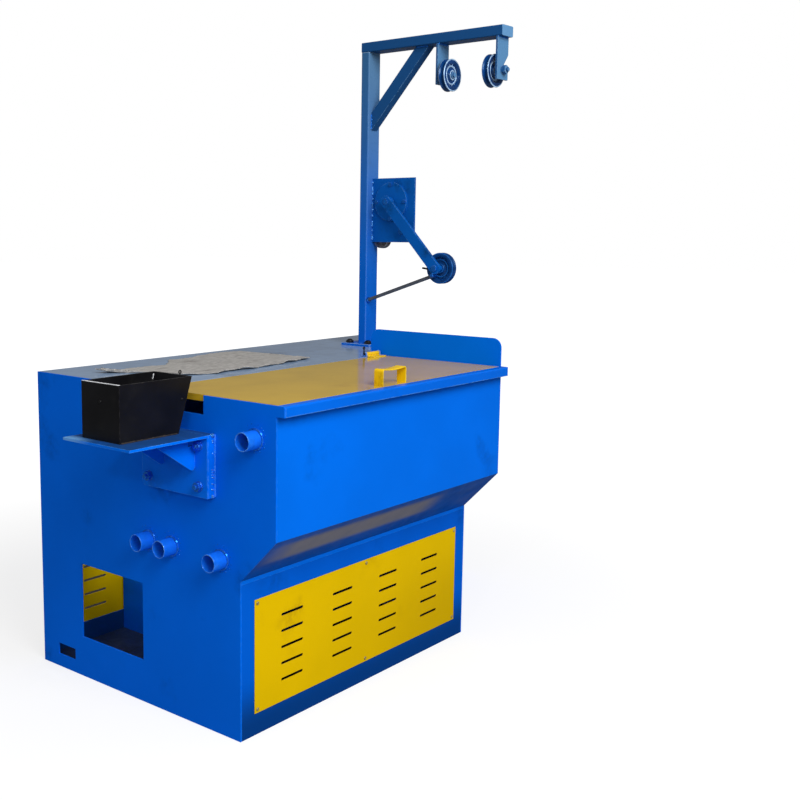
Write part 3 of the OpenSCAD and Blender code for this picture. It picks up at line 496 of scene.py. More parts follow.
# Its worn edges are partly a painted highlight on the heads.
BLUE_BOLT = Finish("blue_bolt_enamel", srgb(36, 120, 225), roughness=0.24, specular=0.6, metallic=0.7,
                   mottle=0.12, tint=GLINT, mottle_scale=40.0, soil=srgb(6, 30, 66), soiling=0.25,
                   soil_scale=50.0, worn=srgb(120, 190, 250), edge_wear_and_highlight=0.75, edge=0.0009, flaw=(0.4, 0.6))
BLUE_PULLEY = Finish("blue_pulley_enamel", srgb(12, 62, 122), roughness=0.22, specular=0.5, coat=0.2,
                     mottle=0.2, mottle_scale=30.0, soil=srgb(6, 26, 60), soiling=0.3, soil_scale=40.0,
                     tint=GLINT, worn=srgb(110, 160, 215), edge_wear_and_highlight=0.7, edge=0.0007, flaw=(0.36, 0.56))
# Pale bands and drops on the pulleys: painted highlights, fainter on the dancer pulley.
CREST_HIGHLIGHT = Finish("blue_crest_highlight", srgb(172, 206, 240), roughness=0.22, specular=0.6, metallic=0.1,
              tint=GLINT, mottle=0.3, mottle_scale=60.0, edge=0.0004)
CREST_HIGHLIGHT_DULL = replace(CREST_HIGHLIGHT, name="dull_blue_crest_highlight", colour=srgb(20, 88, 164), roughness=0.25,
                    specular=0.5, metallic=0.0)
# Darker across the middle and right of the vent panels: painted shade.
YELLOW = Finish("yellow_enamel", srgb(228, 188, 0), roughness=0.34, specular=0.02, mottle=0.04,
                soil=srgb(190, 150, 6), soiling=0.02, soil_scale=4.0, worn=srgb(240, 214, 90), edge_wear_and_highlight=0.4,
                painted_light=srgb(208, 170, 0), painted_light_share=0.9, painted_light_low=(0.1, -9, -0.5), painted_light_high=(0.9, 9, 0.3),
                painted_light_soft=(0.4, 0.1, 0.16))
YELLOW_LID = Finish("glossy_lid_enamel", srgb(214, 174, 41), roughness=0.1, specular=0.4, mottle=0.06,
                    mottle_scale=5.0, soil=srgb(184, 142, 34), soiling=0.3,
                    soil_scale=6.0, worn=srgb(212, 190, 110), edge_wear_and_highlight=0.4, peel=0.00002, peel_scale=40.0)
YELLOW_BRIGHT = Finish("bright_yellow_enamel", srgb(244, 200, 6), roughness=0.3, specular=0.25, mottle=0.05,
                       soil=srgb(150, 112, 10), soiling=0.15, worn=srgb(250, 236, 150), edge_wear_and_highlight=0.5)
TABLE = Finish("grey_blue_table", srgb(143, 167, 198), roughness=0.16, specular=0.4, mottle=0.08,
               mottle_scale=4.0, soil=srgb(112, 130, 156), soiling=0.3,
               soil_scale=6.0, worn=srgb(150, 162, 178), edge_wear_and_highlight=0.3, peel=0.00003, peel_scale=60.0)
# Its pale worn colour at the edges is partly fraying and partly a painted highlight on the curled ends.
MAT = Finish("grey_rubber", srgb(170, 167, 163), roughness=0.8, specular=0.1, mottle=0.2, mottle_scale=90.0,
             peel=0.0005, peel_scale=180.0, soil=srgb(84, 74, 68), soiling=0.35, soil_scale=16.0,
             worn=srgb(228, 224, 216), edge_wear_and_highlight=0.6, edge=0.0016, streak=(0.4, 1.6, 1), flaw=(0.5, 0.62))
BLACK = Finish("black_enamel", srgb(20, 20, 23), roughness=0.34, specular=0.14, mottle=0.25,
               mottle_scale=9.0, soil=srgb(34, 33, 32), soiling=0.35, soil_scale=12.0,
               worn=srgb(84, 80, 78), edge_wear_and_highlight=0.8)
BARE = Finish("rubbed_bright_steel", srgb(236, 238, 242), roughness=0.3, specular=0.4, mottle=0.2,
              mottle_scale=60.0)
ROD = Finish("drawn_bar", srgb(104, 108, 116), roughness=0.3, metallic=0.5, specular=0.4, mottle=0.15,
             mottle_scale=30.0, soil=srgb(30, 28, 28), soiling=0.4, soil_scale=30.0)
BLACKENED = Finish("blackened_steel", srgb(18, 17, 19), roughness=0.38, metallic=0.2, specular=0.4,
                   mottle=0.2, mottle_scale=60.0, worn=srgb(120, 120, 124), edge_wear_and_highlight=0.5, edge=0.0006)
ZINC = Finish("zinc_plate", srgb(96, 94, 98), roughness=0.25, specular=0.5, metallic=0.5, mottle=0.6,
              mottle_scale=70.0, soil=srgb(16, 16, 22), soiling=0.8, soil_scale=50.0,
              worn=srgb(235, 235, 238), edge_wear_and_highlight=1.0, edge=0.0014, flaw=(0.2, 0.4))
CONE = Finish("ground_steel", srgb(190, 192, 196), roughness=0.24, metallic=1.0, specular=0.5, mottle=0.12,
              mottle_scale=25.0, streak=(1, 6, 1), edge=0.0006)
WELD = Finish("painted_weld", srgb(30, 122, 235), roughness=0.22, specular=0.6, metallic=0.6, mottle=0.25,
              tint=GLINT, mottle_scale=90.0, peel=0.0004, peel_scale=300.0, worn=srgb(120, 190, 250),
              edge_wear_and_highlight=0.6)
# Paler than the paint: painted glints on the weld spots and tacks.
WELD_PAINTED_GLINT = Finish("weld_painted_glint", srgb(84, 168, 255), roughness=0.24, specular=0.6, metallic=0.6, mottle=0.4,
                   tint=GLINT, mottle_scale=120.0, peel=0.0004, peel_scale=300.0, worn=srgb(150, 210, 255),
                   edge_wear_and_highlight=0.7, flaw=(0.4, 0.5))
WELD_BROWN = Finish("smoked_weld", srgb(52, 46, 44), roughness=0.55, specular=0.3, mottle=0.3,
                    mottle_scale=90.0, peel=0.0003, peel_scale=300.0)
DARK_FLOOR = Finish("cabinet_floor_enamel", srgb(36, 52, 82), roughness=0.5, specular=0.2, mottle=0.2,
                    mottle_scale=6.0, soil=srgb(10, 12, 16), soiling=0.5, soil_scale=6.0)
SCREW = Finish("brass_screw", srgb(176, 158, 96), roughness=0.3, specular=0.5, metallic=0.3, mottle=0.2,
               mottle_scale=80.0, soil=srgb(60, 50, 24), soiling=0.4, soil_scale=120.0)


class Shell:
    """Grids of points gathered into one closed mesh."""

    def __init__(self) -> None:
        """Start with no points."""
        self.points: list[np.ndarray] = []
        self.faces: list[Sequence[int]] = []
        self.count = 0

    def grid(self, points: np.ndarray, wrap_u: bool = False, wrap_v: bool = False) -> "Shell":
        """Add a grid of four-sided faces.

        Args:
            points: Array of rows, columns and 3 coordinates.
            wrap_u: Whether the last row joins the first.
            wrap_v: Whether the last column joins the first.

        Returns:
            This shell.
        """
        rows, columns = points.shape[:2]
        index = np.arange(rows * columns).reshape(rows, columns) + self.count
        low_u = np.arange(rows if wrap_u else rows - 1)
        low_v = np.arange(columns if wrap_v else columns - 1)
        next_u = (low_u + 1) % rows
        next_v = (low_v + 1) % columns
        quads = np.stack([index[np.ix_(low_u, low_v)], index[np.ix_(next_u, low_v)],
                          index[np.ix_(next_u, next_v)], index[np.ix_(low_u, next_v)]], axis=-1)
        self.faces.extend(quads.reshape(-1, 4).tolist())
        self.points.append(points.reshape(-1, 3))
        self.count += rows * columns
        return self

    def cap(self, ring: np.ndarray) -> "Shell":
        """Add one face over a closed ring of points.

        Args:
            ring: Array of points around the face.

        Returns:
            This shell.
        """
        self.faces.append((np.arange(len(ring)) + self.count).tolist())
        self.points.append(ring)
        self.count += len(ring)
        return self

    def piece(self, name: str, finish: Finish, body: Body, slot: str,
              replaces: Sequence[str] = (), crease: float = 35.0) -> bpy.types.Object:
        """Turn the shell into a piece that rides on a body.

        Args:
            name: Name of the piece.
            finish: Its finish.
            body: The body that it moves with.
            slot: The record's material slot; not used.
            replaces: Nodes that it stands for.
            crease: Angle above which an edge stays sharp, in degrees.

        Returns:
            The new object.
        """
        mesh = bpy.data.meshes.new(name)
        mesh.from_pydata(np.concatenate(self.points).tolist(), [], self.faces)
        work = bmesh.new()
        work.from_mesh(mesh)
        bmesh.ops.remove_doubles(work, verts=work.verts, dist=1e-6)
        bmesh.ops.recalc_face_normals(work, faces=work.faces)
        work.to_mesh(mesh)
        work.free()
        mesh.shade_smooth()
        mesh.set_sharp_from_angle(angle=math.radians(crease))
        mesh.materials.append(finish.material())
        made = put(name, mesh)
        if replaces:
            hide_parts(*replaces)
        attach(made, body.value)
        log.info("piece %s: %d faces on %s", name, len(mesh.polygons), body.value)
        return made


def turns(count: int) -> np.ndarray:
    """Angles of that many even steps around a circle."""
    return np.linspace(0, 2 * np.pi, count, endpoint=False)


def around(centre: Point, axis: Axis, radius: Any, angle: Any) -> np.ndarray:
    """Points about an axis: centre + radius (cos angle, sin angle) in the plane across it.

    Args:
        centre: Point on the axis.
        axis: The axis.
        radius: One distance from it, or an array of them.
        angle: One angle, or an array of them.

    Returns:
        Array of points, of the shape that radius and angle make together.
    """
    wide, turn = np.broadcast_arrays(radius, angle)
    points = np.zeros((*turn.shape, 3))
    points[..., (axis.value + 1) % 3] = wide * np.cos(turn)
    points[..., (axis.value + 2) % 3] = wide * np.sin(turn)
    return points + np.asarray(centre, float)


def turned(shell: Shell, profile: Sequence[Point] | np.ndarray, centre: Point, axis: Axis,
           steps: int = 48) -> Shell:
    """Add a turned form: point(s, a) = centre + along(s) axis + radius(s) (cos a, sin a).

    Args:
        shell: Shell that takes it.
        profile: Rows of radius and place along the axis, from one end to the other.
        centre: Point on the axis from which the places count.
        axis: The axis.
        steps: Points around.

    Returns:
        The shell.
    """
    rows = np.asarray(profile, float)
    points = around(centre, axis, rows[:, :1], turns(steps))
    points[..., axis.value] += rows[:, 1:]
    return shell.grid(points, wrap_v=True)


def hexagon_head(shell: Shell, centre: Point, axis: Axis, way: int, across: float, height: float) -> Shell:
    """Add a hexagonal head with a chamfered top.

    The radius is across / 2 / cos((a mod 60) - 30 degrees). Past the chamfer's circle
    the rim drops by the chamfer's slope times what the radius exceeds the circle.

    Args:
        shell: Shell that takes it.
        centre: Middle of the seat.
        axis: Axis of the head.
        way: 1 or -1, the way in which it stands out.
        across: Width across the flats.
        height: Height of the head.

    Returns:
        The shell.
    """
    angle = turns(48)
    radius = across / 2 / np.cos(np.mod(angle, np.pi / 3) - np.pi / 6)
    circle = across / 2 * CHAMFER_CIRCLE
    drop = CHAMFER_SLOPE * np.maximum(0, radius - circle)
    none = np.zeros_like(radius)
    wide = np.stack([none, radius, radius, np.minimum(radius, circle), none])
    high = np.stack([none, none, height - drop - CHAMFER_STEP * across, none + height, none + height])
    points = around(centre, axis, wide, angle)
    points[..., axis.value] += way * high
    return shell.grid(points, wrap_v=True)


def round_corners(corners: Sequence[Point], radius: float, steps: int = 7) -> np.ndarray:
    """Points of a bent line whose corners are arcs.

    Args:
        corners: The line's ends and corners.
        radius: Radius of the bends.
        steps: Points on each bend.

    Returns:
        Array of points along the line.
    """
    nodes = np.asarray(corners, float)
    line = [nodes[:1]]
    for before, here, after in zip(nodes[:-2], nodes[1:-1], nodes[2:]):
        come = (here - before) / np.linalg.norm(here - before)
        go = (after - here) / np.linalg.norm(after - here)
        bend = math.acos(float(np.clip(come @ go, -1, 1)))
        reach = radius * math.tan(bend / 2)
        turn = np.linspace(0, bend, steps)[:, None]
        side = (go - come * math.cos(bend)) / math.sin(bend)
        start = here - reach * come
        line.append(start + radius * (np.sin(turn) * come + (1 - np.cos(turn)) * side))
    line.append(nodes[-1:])
    return np.concatenate(line)


def swept(shell: Shell, path: np.ndarray, normal: Point, section: np.ndarray,
          swell: np.ndarray | None = None, closed: bool = False) -> Shell:
    """Add a bar carried along a flat path: point(s, k) = path(s) + a(k) normal + b(k) side(s).

    Args:
        shell: Shell that takes it.
        path: Points of the path.
        normal: Normal of the plane that the path lies in.
        section: Rows of the section's size along the normal and across it.
        swell: Factor on the section at each point of the path.
        closed: Whether the path's end joins its start.

    Returns:
        The shell.
    """
    if closed:
        tangent = np.roll(path, -1, axis=0) - np.roll(path, 1, axis=0)
    else:
        tangent = np.gradient(path, axis=0)
    tangent /= np.linalg.norm(tangent, axis=1, keepdims=True)
    up = np.asarray(normal, float)
    up = up / np.linalg.norm(up)
    side = np.cross(up, tangent)
    grow = np.ones(len(path)) if swell is None else swell
    points = path[:, None, :] + grow[:, None, None] * (
        section[None, :, 0, None] * up + section[None, :, 1, None] * side[:, None, :])
    shell.grid(points, wrap_u=closed, wrap_v=True)
    return shell if closed else shell.cap(points[0]).cap(points[-1])


def ring_section(radius: float, steps: int = 12) -> np.ndarray:
    """Round section of a bar, as rows of two sizes."""
    angle = turns(steps)
    return radius * np.stack([np.cos(angle), np.sin(angle)], axis=1)


def strap_section(width: float, thick: float, soft: float) -> np.ndarray:
    """Section of a flat strap with rounded edges.

    Args:
        width: Width along the path's normal.
        thick: Thickness across it.
        soft: Radius of the edges.

    Returns:
        Rows of two sizes around the section.
    """
    turn = np.linspace(0, np.pi / 2, 4)
    corner = soft * np.stack([np.cos(turn), np.sin(turn)], axis=1)
    a, b = width / 2 - soft, thick / 2 - soft
    return np.concatenate([corner + [a, b], corner[::-1] * [-1, 1] + [-a, b],
                           corner * [-1, -1] + [-a, -b], corner[::-1] * [1, -1] + [a, -b]])


def distances(path: np.ndarray) -> np.ndarray:
    """Distance of each point of a path from its start, along the path."""
    steps = np.linalg.norm(np.diff(path, axis=0), axis=1)
    return np.concatenate([[0], np.cumsum(steps)])


def weld_bead(shell: Shell, path: np.ndarray, normal: Point, radius: float, closed: bool = False) -> Shell:
    """Add a weld bead of uneven radius.

    With w = s / (0.9 radius) the radius is that of the bead times
    1 + 0.16 sin(w) + 0.12 sin(0.37 w + 1.3) + 0.14 sin(0.113 w + 0.4). An open bead
    thins over its last radius to 15 percent.

    Args:
        shell: Shell that takes it.
        path: Points along the seam.
        normal: Normal of the plane that the seam lies in.
        radius: Mean radius of the bead.
        closed: Whether the seam meets itself.

    Returns:
        The shell.
    """
    run = distances(path)
    wave = run / (radius * 0.9)
    swell = 1 + 0.16 * np.sin(wave) + 0.12 * np.sin(0.37 * wave + 1.3) + 0.14 * np.sin(0.113 * wave + 0.4)
    if not closed:
        swell = swell * np.clip(np.minimum(run, run[-1] - run) / radius, 0.15, 1)
    return swept(shell, path, normal, ring_section(radius, 8), swell, closed)


def spatter(shell: Shell, centre: Point, axis: Axis, way: int, reach: Sequence[float], count: int) -> Shell:
    """Add small weld drops around a point.

    The k-th drop lies at k times the golden angle and at the share frac(0.618 k)^1.5
    of the reach. Its size is 0.9 + 0.9 frac(0.414 k) times the drawn one.

    Args:
        shell: Shell that takes them.
        centre: Point on the surface.
        axis: Normal of the surface.
        way: 1 or -1, the side on which the drops stand out.
        reach: Least and greatest distance of a drop.
        count: Number of drops.

    Returns:
        The shell.
    """
    dome = np.array([[0, -0.4], [1.2, -0.4], [1.1, 0.2], [0.7, 0.6], [0, 0.75]]) * [1, way] * MM
    for k in range(count):
        far = reach[0] + (reach[1] - reach[0]) * ((k * 0.618) % 1.0) ** 1.5
        size = 0.9 + 0.9 * ((k * 0.414) % 1.0)
        turned(shell, dome * size, around(centre, axis, far, GOLDEN_ANGLE * k), axis, 8)
    return shell


def seam(start: Point, end: Point, pitch: float = 2.5 * MM) -> np.ndarray:
    """Points of a straight seam.

    Args:
        start: First point.
        end: Last point.
        pitch: Distance between points.

    Returns:
        Array of points.
    """
    first, last = np.asarray(start, float), np.asarray(end, float)
    count = max(4, int(np.linalg.norm(last - first) / pitch))
    return first + np.linspace(0, 1, count)[:, None] * (last - first)


def loop(centre: Point, axis: Axis, radius: float, count: int = 120) -> np.ndarray:
    """Points of a circle about an axis."""
    return around(centre, axis, radius, turns(count))


def dress(nodes: Nodes, names: Sequence[str], finish: Finish) -> None:
    """Give CAD nodes a finish.

    Args:
        nodes: The frame's nodes.
        names: The nodes that take the finish.
        finish: The finish.
    """
    for name in names:
        mesh = nodes[name].data
        mesh.materials.clear()
        mesh.materials.append(finish.material())
        log.info("dressed %s with %s", name, finish.name)


@dataclass
class Cabinet:
    """Steel cabinet, tank shell, rim, guard, table and vent panels.

    Attributes:
        screw_r: Radius of a vent panel's screw heads.
        screw_inset: Distance of the screws from a panel's edges.
        sunk: How deep the heads at the back sit in their panel.
    """

    screw_r: float = 6 * MM
    screw_inset: float = 12 * MM
    sunk: float = 2.3 * MM

    def dress(self, nodes: Nodes) -> None:
        """Finish the cabinet's plates.

        Args:
            nodes: The frame's nodes.
        """
        dress(nodes, ["left_side_plate", "middle_wall", "end_wall", "inner_partition"], BLUE_SIDE)
        dress(nodes, ["rear_wall"], REAR_SIDE)
        dress(nodes, ["right_side_plate", "tank_shell"], BLUE)
        dress(nodes, ["front_rim"], BLUE_RIM)
        dress(nodes, ["base_front"], BLUE_BASE)
        dress(nodes, ["front_vent_panel", "rear_vent_panel"], YELLOW)
        dress(nodes, ["cabinet_floor"], DARK_FLOOR)
        dress(nodes, ["table_top"], TABLE)

    def screws(self, panel: str, way: int) -> None:
        """Add the six pan head screws of one vent panel.

        Args:
            panel: The panel's node.
            way: -1 on the front, 1 at the back.
        """
        low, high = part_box(panel)
        face = low.y if way < 0 else high.y - self.sunk
        shell = Shell()
        r = self.screw_r
        dome = np.array([[0, 0], [r, 0], [r, 0.25 * r], [0.86 * r, 0.42 * r], [0.5 * r, 0.55 * r],
                         [0.34 * r, 0.56 * r], [0.3 * r, 0.34 * r], [0, 0.3 * r]])
        for x in (low.x + self.screw_inset, (low.x + high.x) / 2, high.x - self.screw_inset):
            for z in (low.z + self.screw_inset, high.z - self.screw_inset):
                turned(shell, dome * [1, way], (x, face, z), Axis.Y, 20)
        shell.piece(panel + "_screws", SCREW, Body.CABINET, "steel_rod")

    def build(self, nodes: Nodes) -> None:
        """Dress the plates and add the small parts on them.

        Args:
            nodes: The frame's nodes.
        """
        self.dress(nodes)
        self.screws("front_vent_panel", -1)
        self.screws("rear_vent_panel", 1)


@dataclass
class PipeStubs:
    """Open tube stubs on the left side plate, with rounded rims and weld rings.

    Attributes:
        wall: Wall of the tube.
        rounding: Share of the wall by which an edge of the rim is rounded.
        corner: Share of that rounding by which its middle point lies off the sharp corner.
        bead: Radius of the weld bead at the root.
        offset: Share of that radius by which the bead's line stands off the corner.
        splash: Least and greatest distance of a weld drop from the tube.
        drops: Number of weld drops around a stub.
        names: The nodes of the stubs.
    """

    wall: float = 3 * MM
    rounding: float = 0.4
    corner: float = 0.3
    bead: float = 4 * MM
    offset: float = 0.4
    splash: tuple[float, float] = (9 * MM, 22 * MM)
    drops: int = 16
    names: tuple[str, ...] = ("pipe_stub_upper", "pipe_stub_rear", "pipe_stub_middle", "pipe_stub_front")

    def profile(self, outer: float, length: float) -> np.ndarray:
        """Outline of a tube, from its root along the outside, over the round rim and back inside.

        Args:
            outer: Outer radius.
            length: Length of the tube.

        Returns:
            Rows of radius and place along the axis.
        """
        inner = outer - self.wall
        soft = self.wall * self.rounding
        cut = soft * self.corner
        return np.array([[outer, 0], [outer, soft - length], [outer - cut, cut - length],
                         [outer - soft, -length], [inner + soft, -length], [inner + cut, cut - length],
                         [inner, soft - length], [inner, 0], [outer, 0]])

    def build(self) -> None:
        """Make each stub as a turned tube with a bead and weld drops around its root."""
        for name in self.names:
            low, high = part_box(name)
            root = (high.x, (low.y + high.y) / 2, (low.z + high.z) / 2)
            outer = (high.z - low.z) / 2
            tube = turned(Shell(), self.profile(outer, high.x - low.x), root, Axis.X, 64)
            tube.piece(name + "_tube", STUB, Body.CABINET, "blue_paint", [name])
            off = self.bead * self.offset
            ring = loop((root[0] - off, root[1], root[2]), Axis.X, outer + off)
            weld = weld_bead(Shell(), ring, (1, 0, 0), self.bead, closed=True)
            spatter(weld, root, Axis.X, -1, [outer + far for far in self.splash], self.drops)
            weld.piece(name + "_weld", WELD, Body.CABINET, "blue_paint")


@dataclass
class TankLid:
    """Lid with its strap handle, hinge barrels, lugs and bent pins.

    Attributes:
        strap: Thickness of the handle's strap.
        strap_soft: Radius of the strap's edges.
        bend: Radius of the handle's bends.
        sag: How far the handle's top sinks in its middle.
        pin_r: Radius of a hinge pin.
        pin_head: Radius of its head.
        pin_run: Distance from the head's end to the upright.
        pin_start: Distance from the head's end to the pin's start inside it.
        pin_bend: Radius of the bend in a pin.
        taper: Length over which a pin thins towards its eye.
        taper_to: Share of its radius that is left there.
        eye: Outer radius of the eye on its upright.
        wire: Radius of the eye's wire.
    """

    strap: float = 4 * MM
    strap_soft: float = 1.2 * MM
    bend: float = 7 * MM
    sag: float = 5 * MM
    pin_r: float = 4 * MM
    pin_head: float = 8 * MM
    pin_run: float = 100.6 * MM
    pin_start: float = 3 * MM
    pin_bend: float = 6 * MM
    taper: float = 20 * MM
    taper_to: float = 0.55
    eye: float = 7 * MM
    wire: float = 2.3 * MM

    def dress(self, nodes: Nodes) -> None:
        """Finish the lid, its barrels and the lugs.

        Args:
            nodes: The frame's nodes.
        """
        dress(nodes, ["tank_lid"], YELLOW_LID)
        dress(nodes, ["lid_barrels"], YELLOW_BRIGHT)
        dress(nodes, ["hinge_lugs"], BLUE_MAST)

    def handle(self) -> None:
        """Bend the handle's strap, its top sagging as sag (1 - u^2)."""
        low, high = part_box("lid_handle")
        half = self.strap / 2
        middle = (low.y + high.y) / 2
        left, right = low.x + half, high.x - half
        crown = high.z - half
        u = np.linspace(-1, 1, 9)[1:-1]
        sagging = crown - self.sag * (1 - u * u)
        top = np.stack([left + (u + 1) / 2 * (right - left), 0 * u + middle, sagging], axis=1)
        corners = [(left, middle, low.z), (left, middle, crown), *top, (right, middle, crown),
                   (right, middle, low.z)]
        path = round_corners(corners, self.bend, 6)
        section = strap_section(high.y - low.y, self.strap, self.strap_soft)
        strap = swept(Shell(), path, (0, 1, 0), section)
        strap.piece("handle_strap", YELLOW_BRIGHT, Body.LID, "yellow_paint", ["lid_handle"])

    def pins(self) -> None:
        """Bend each hinge pin up beside its barrel's inner end, taper it and close it with an eye."""
        low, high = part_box("hinge_pins")
        middle = (low.y + high.y) / 2
        axis_z = low.z + self.pin_head
        head = np.array([[0, 0], [6.5, 0], [8, 1.2], [8, 3.4], [7, 4], [0, 4]]) * MM
        shell = Shell()
        for end, way in ((low.x, 1), (high.x, -1)):
            upright = end + way * self.pin_run
            corners = [(end + way * self.pin_start, middle, axis_z), (upright, middle, axis_z),
                       (upright, middle, high.z - 2 * self.eye)]
            path = round_corners(corners, self.pin_bend)
            run = distances(path)
            swell = np.interp(run, [run[-1] - self.taper, run[-1]], [1.0, self.taper_to])
            swept(shell, path, (0, 1, 0), ring_section(self.pin_r, 16), swell)
            turned(shell, head * [1, way], (end, middle, axis_z), Axis.X, 24)
            ring = loop((upright, middle, high.z - self.eye), Axis.Y, self.eye - self.wire, 40)
            swept(shell, ring, (0, 1, 0), ring_section(self.wire, 10), closed=True)
        shell.piece("bent_hinge_pins", BLACKENED, Body.CABINET, "dark_steel", ["hinge_pins"])

    def build(self, nodes: Nodes) -> None:
        """Dress the lid and make the handle and the pins.

        Args:
            nodes: The frame's nodes.
        """
        self.dress(nodes)
        self.handle()
        self.pins()


@dataclass
class TableMat:
    """Loose ragged mat on the table, cut without a rule.

    Attributes:
        thick: Thickness of the mat.
        columns: Points along it.
        rows: Points across it.
        lift: Height of its creases.
        front: Front edge, as shares of the length and of the width.
        rear: Rear edge, as shares of the length and of the width.
        curled: Share of the length and of the width over which an edge curls up.
    """

    thick: float = 2.4 * MM
    columns: int = 300
    rows: int = 120
    lift: float = 2.2 * MM
    front: tuple[Point, Point] = (
        (0, 0.078, 0.149, 0.175, 0.246, 0.313, 0.432, 0.512, 0.629, 0.764, 0.976, 1),
        (0.67, 0.54, 0.417, 0.127, 0.075, 0.007, 0.044, 0.011, 0.037, 0.061, 0.114, 0.296))
    rear: tuple[Point, Point] = (
        (0, 0.11, 0.235, 0.371, 0.506, 0.586, 0.734, 0.876, 0.988, 1),
        (0.735, 0.713, 0.726, 0.678, 0.917, 0.879, 0.963, 1, 0.943, 0.56))
    curled: float = 0.09

    def relief(self, u: np.ndarray, v: np.ndarray) -> np.ndarray:
        """Height of the mat's underside at the shares u along it and v across it.

        A crease is a narrow crest, exp(-(wave / width)^2), wherever a slow wave passes
        nought. A curl grows with the square of the nearness to the left or front edge.

        Args:
            u: Share of the length at each point.
            v: Share of the width at each point.

        Returns:
            Array of heights.
        """
        crease = np.exp(-(np.sin(5.1 * u + 2.6 * v + 0.7 * np.sin(7 * v + 2 * u)) / 0.05) ** 2)
        crease += 0.8 * np.exp(-(np.sin(3.3 * u - 6.1 * v + 1.1 + 0.4 * np.sin(11 * u)) / 0.04) ** 2)
        crease += 0.6 * np.exp(-(np.sin(9.0 * u + 8.2 * v + 0.5) / 0.05) ** 2) * (u < 0.45)
        left, near = (np.clip((self.curled - share) / self.curled, 0, 1) ** 2 for share in (u, v))
        curl = 5.5 * left + (2.2 + 1.8 * np.sin(29 * u) * np.sin(13 * u + 1)) * near
        swell = 0.5 * (1 + np.sin(7 * u + 2) * np.sin(5 * v + 1)) * np.sin(np.pi * v)
        return 0.3 * MM + self.lift * (crease * 0.5 + curl + 0.5 * swell)

    def build(self) -> None:
        """Make the mat as a creased sheet with frayed edges.

        A point lies at the share v between the front and the rear edge, each frayed by
        short sines that die away towards the middle. The top is the underside moved up by
        the thickness, and a strip around both closes the edge.
        """
        low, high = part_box("table_mat")
        long, wide = high.x - low.x, high.y - low.y
        share = np.linspace(0, 1, self.columns)
        near, far = np.interp(share, *self.front), np.interp(share, *self.rear)
        u, v = np.meshgrid(share, np.linspace(0, 1, self.rows), indexing="ij")
        fray = (3.2 * np.sin(61 * u + 3) + 2.4 * np.sin(173 * u) + 1.6 * np.sin(311 * u + 1.2)) * MM
        edge = (2.4 * np.sin(23 * v + 1) + 1.4 * np.sin(57 * v + 2)) * MM
        x = low.x + u * long + edge * (1 - 2 * u) ** 8
        y = low.y + (near[:, None] + v * (far - near)[:, None]) * wide + fray * np.abs(1 - 2 * v) ** 8
        bottom = np.stack([x, y, low.z + self.relief(u, v)], axis=-1)
        top = bottom + [0, 0, self.thick]
        ring = [np.concatenate([part[:, 0], part[-1, 1:], part[-2::-1, -1], part[0, -2:0:-1]])
                for part in (bottom, top)]
        shell = Shell().grid(bottom).grid(top).grid(np.stack(ring), wrap_v=True)
        made = shell.piece("ragged_mat", MAT, Body.CABINET, "mat_rubber", ["table_mat"], crease=50)


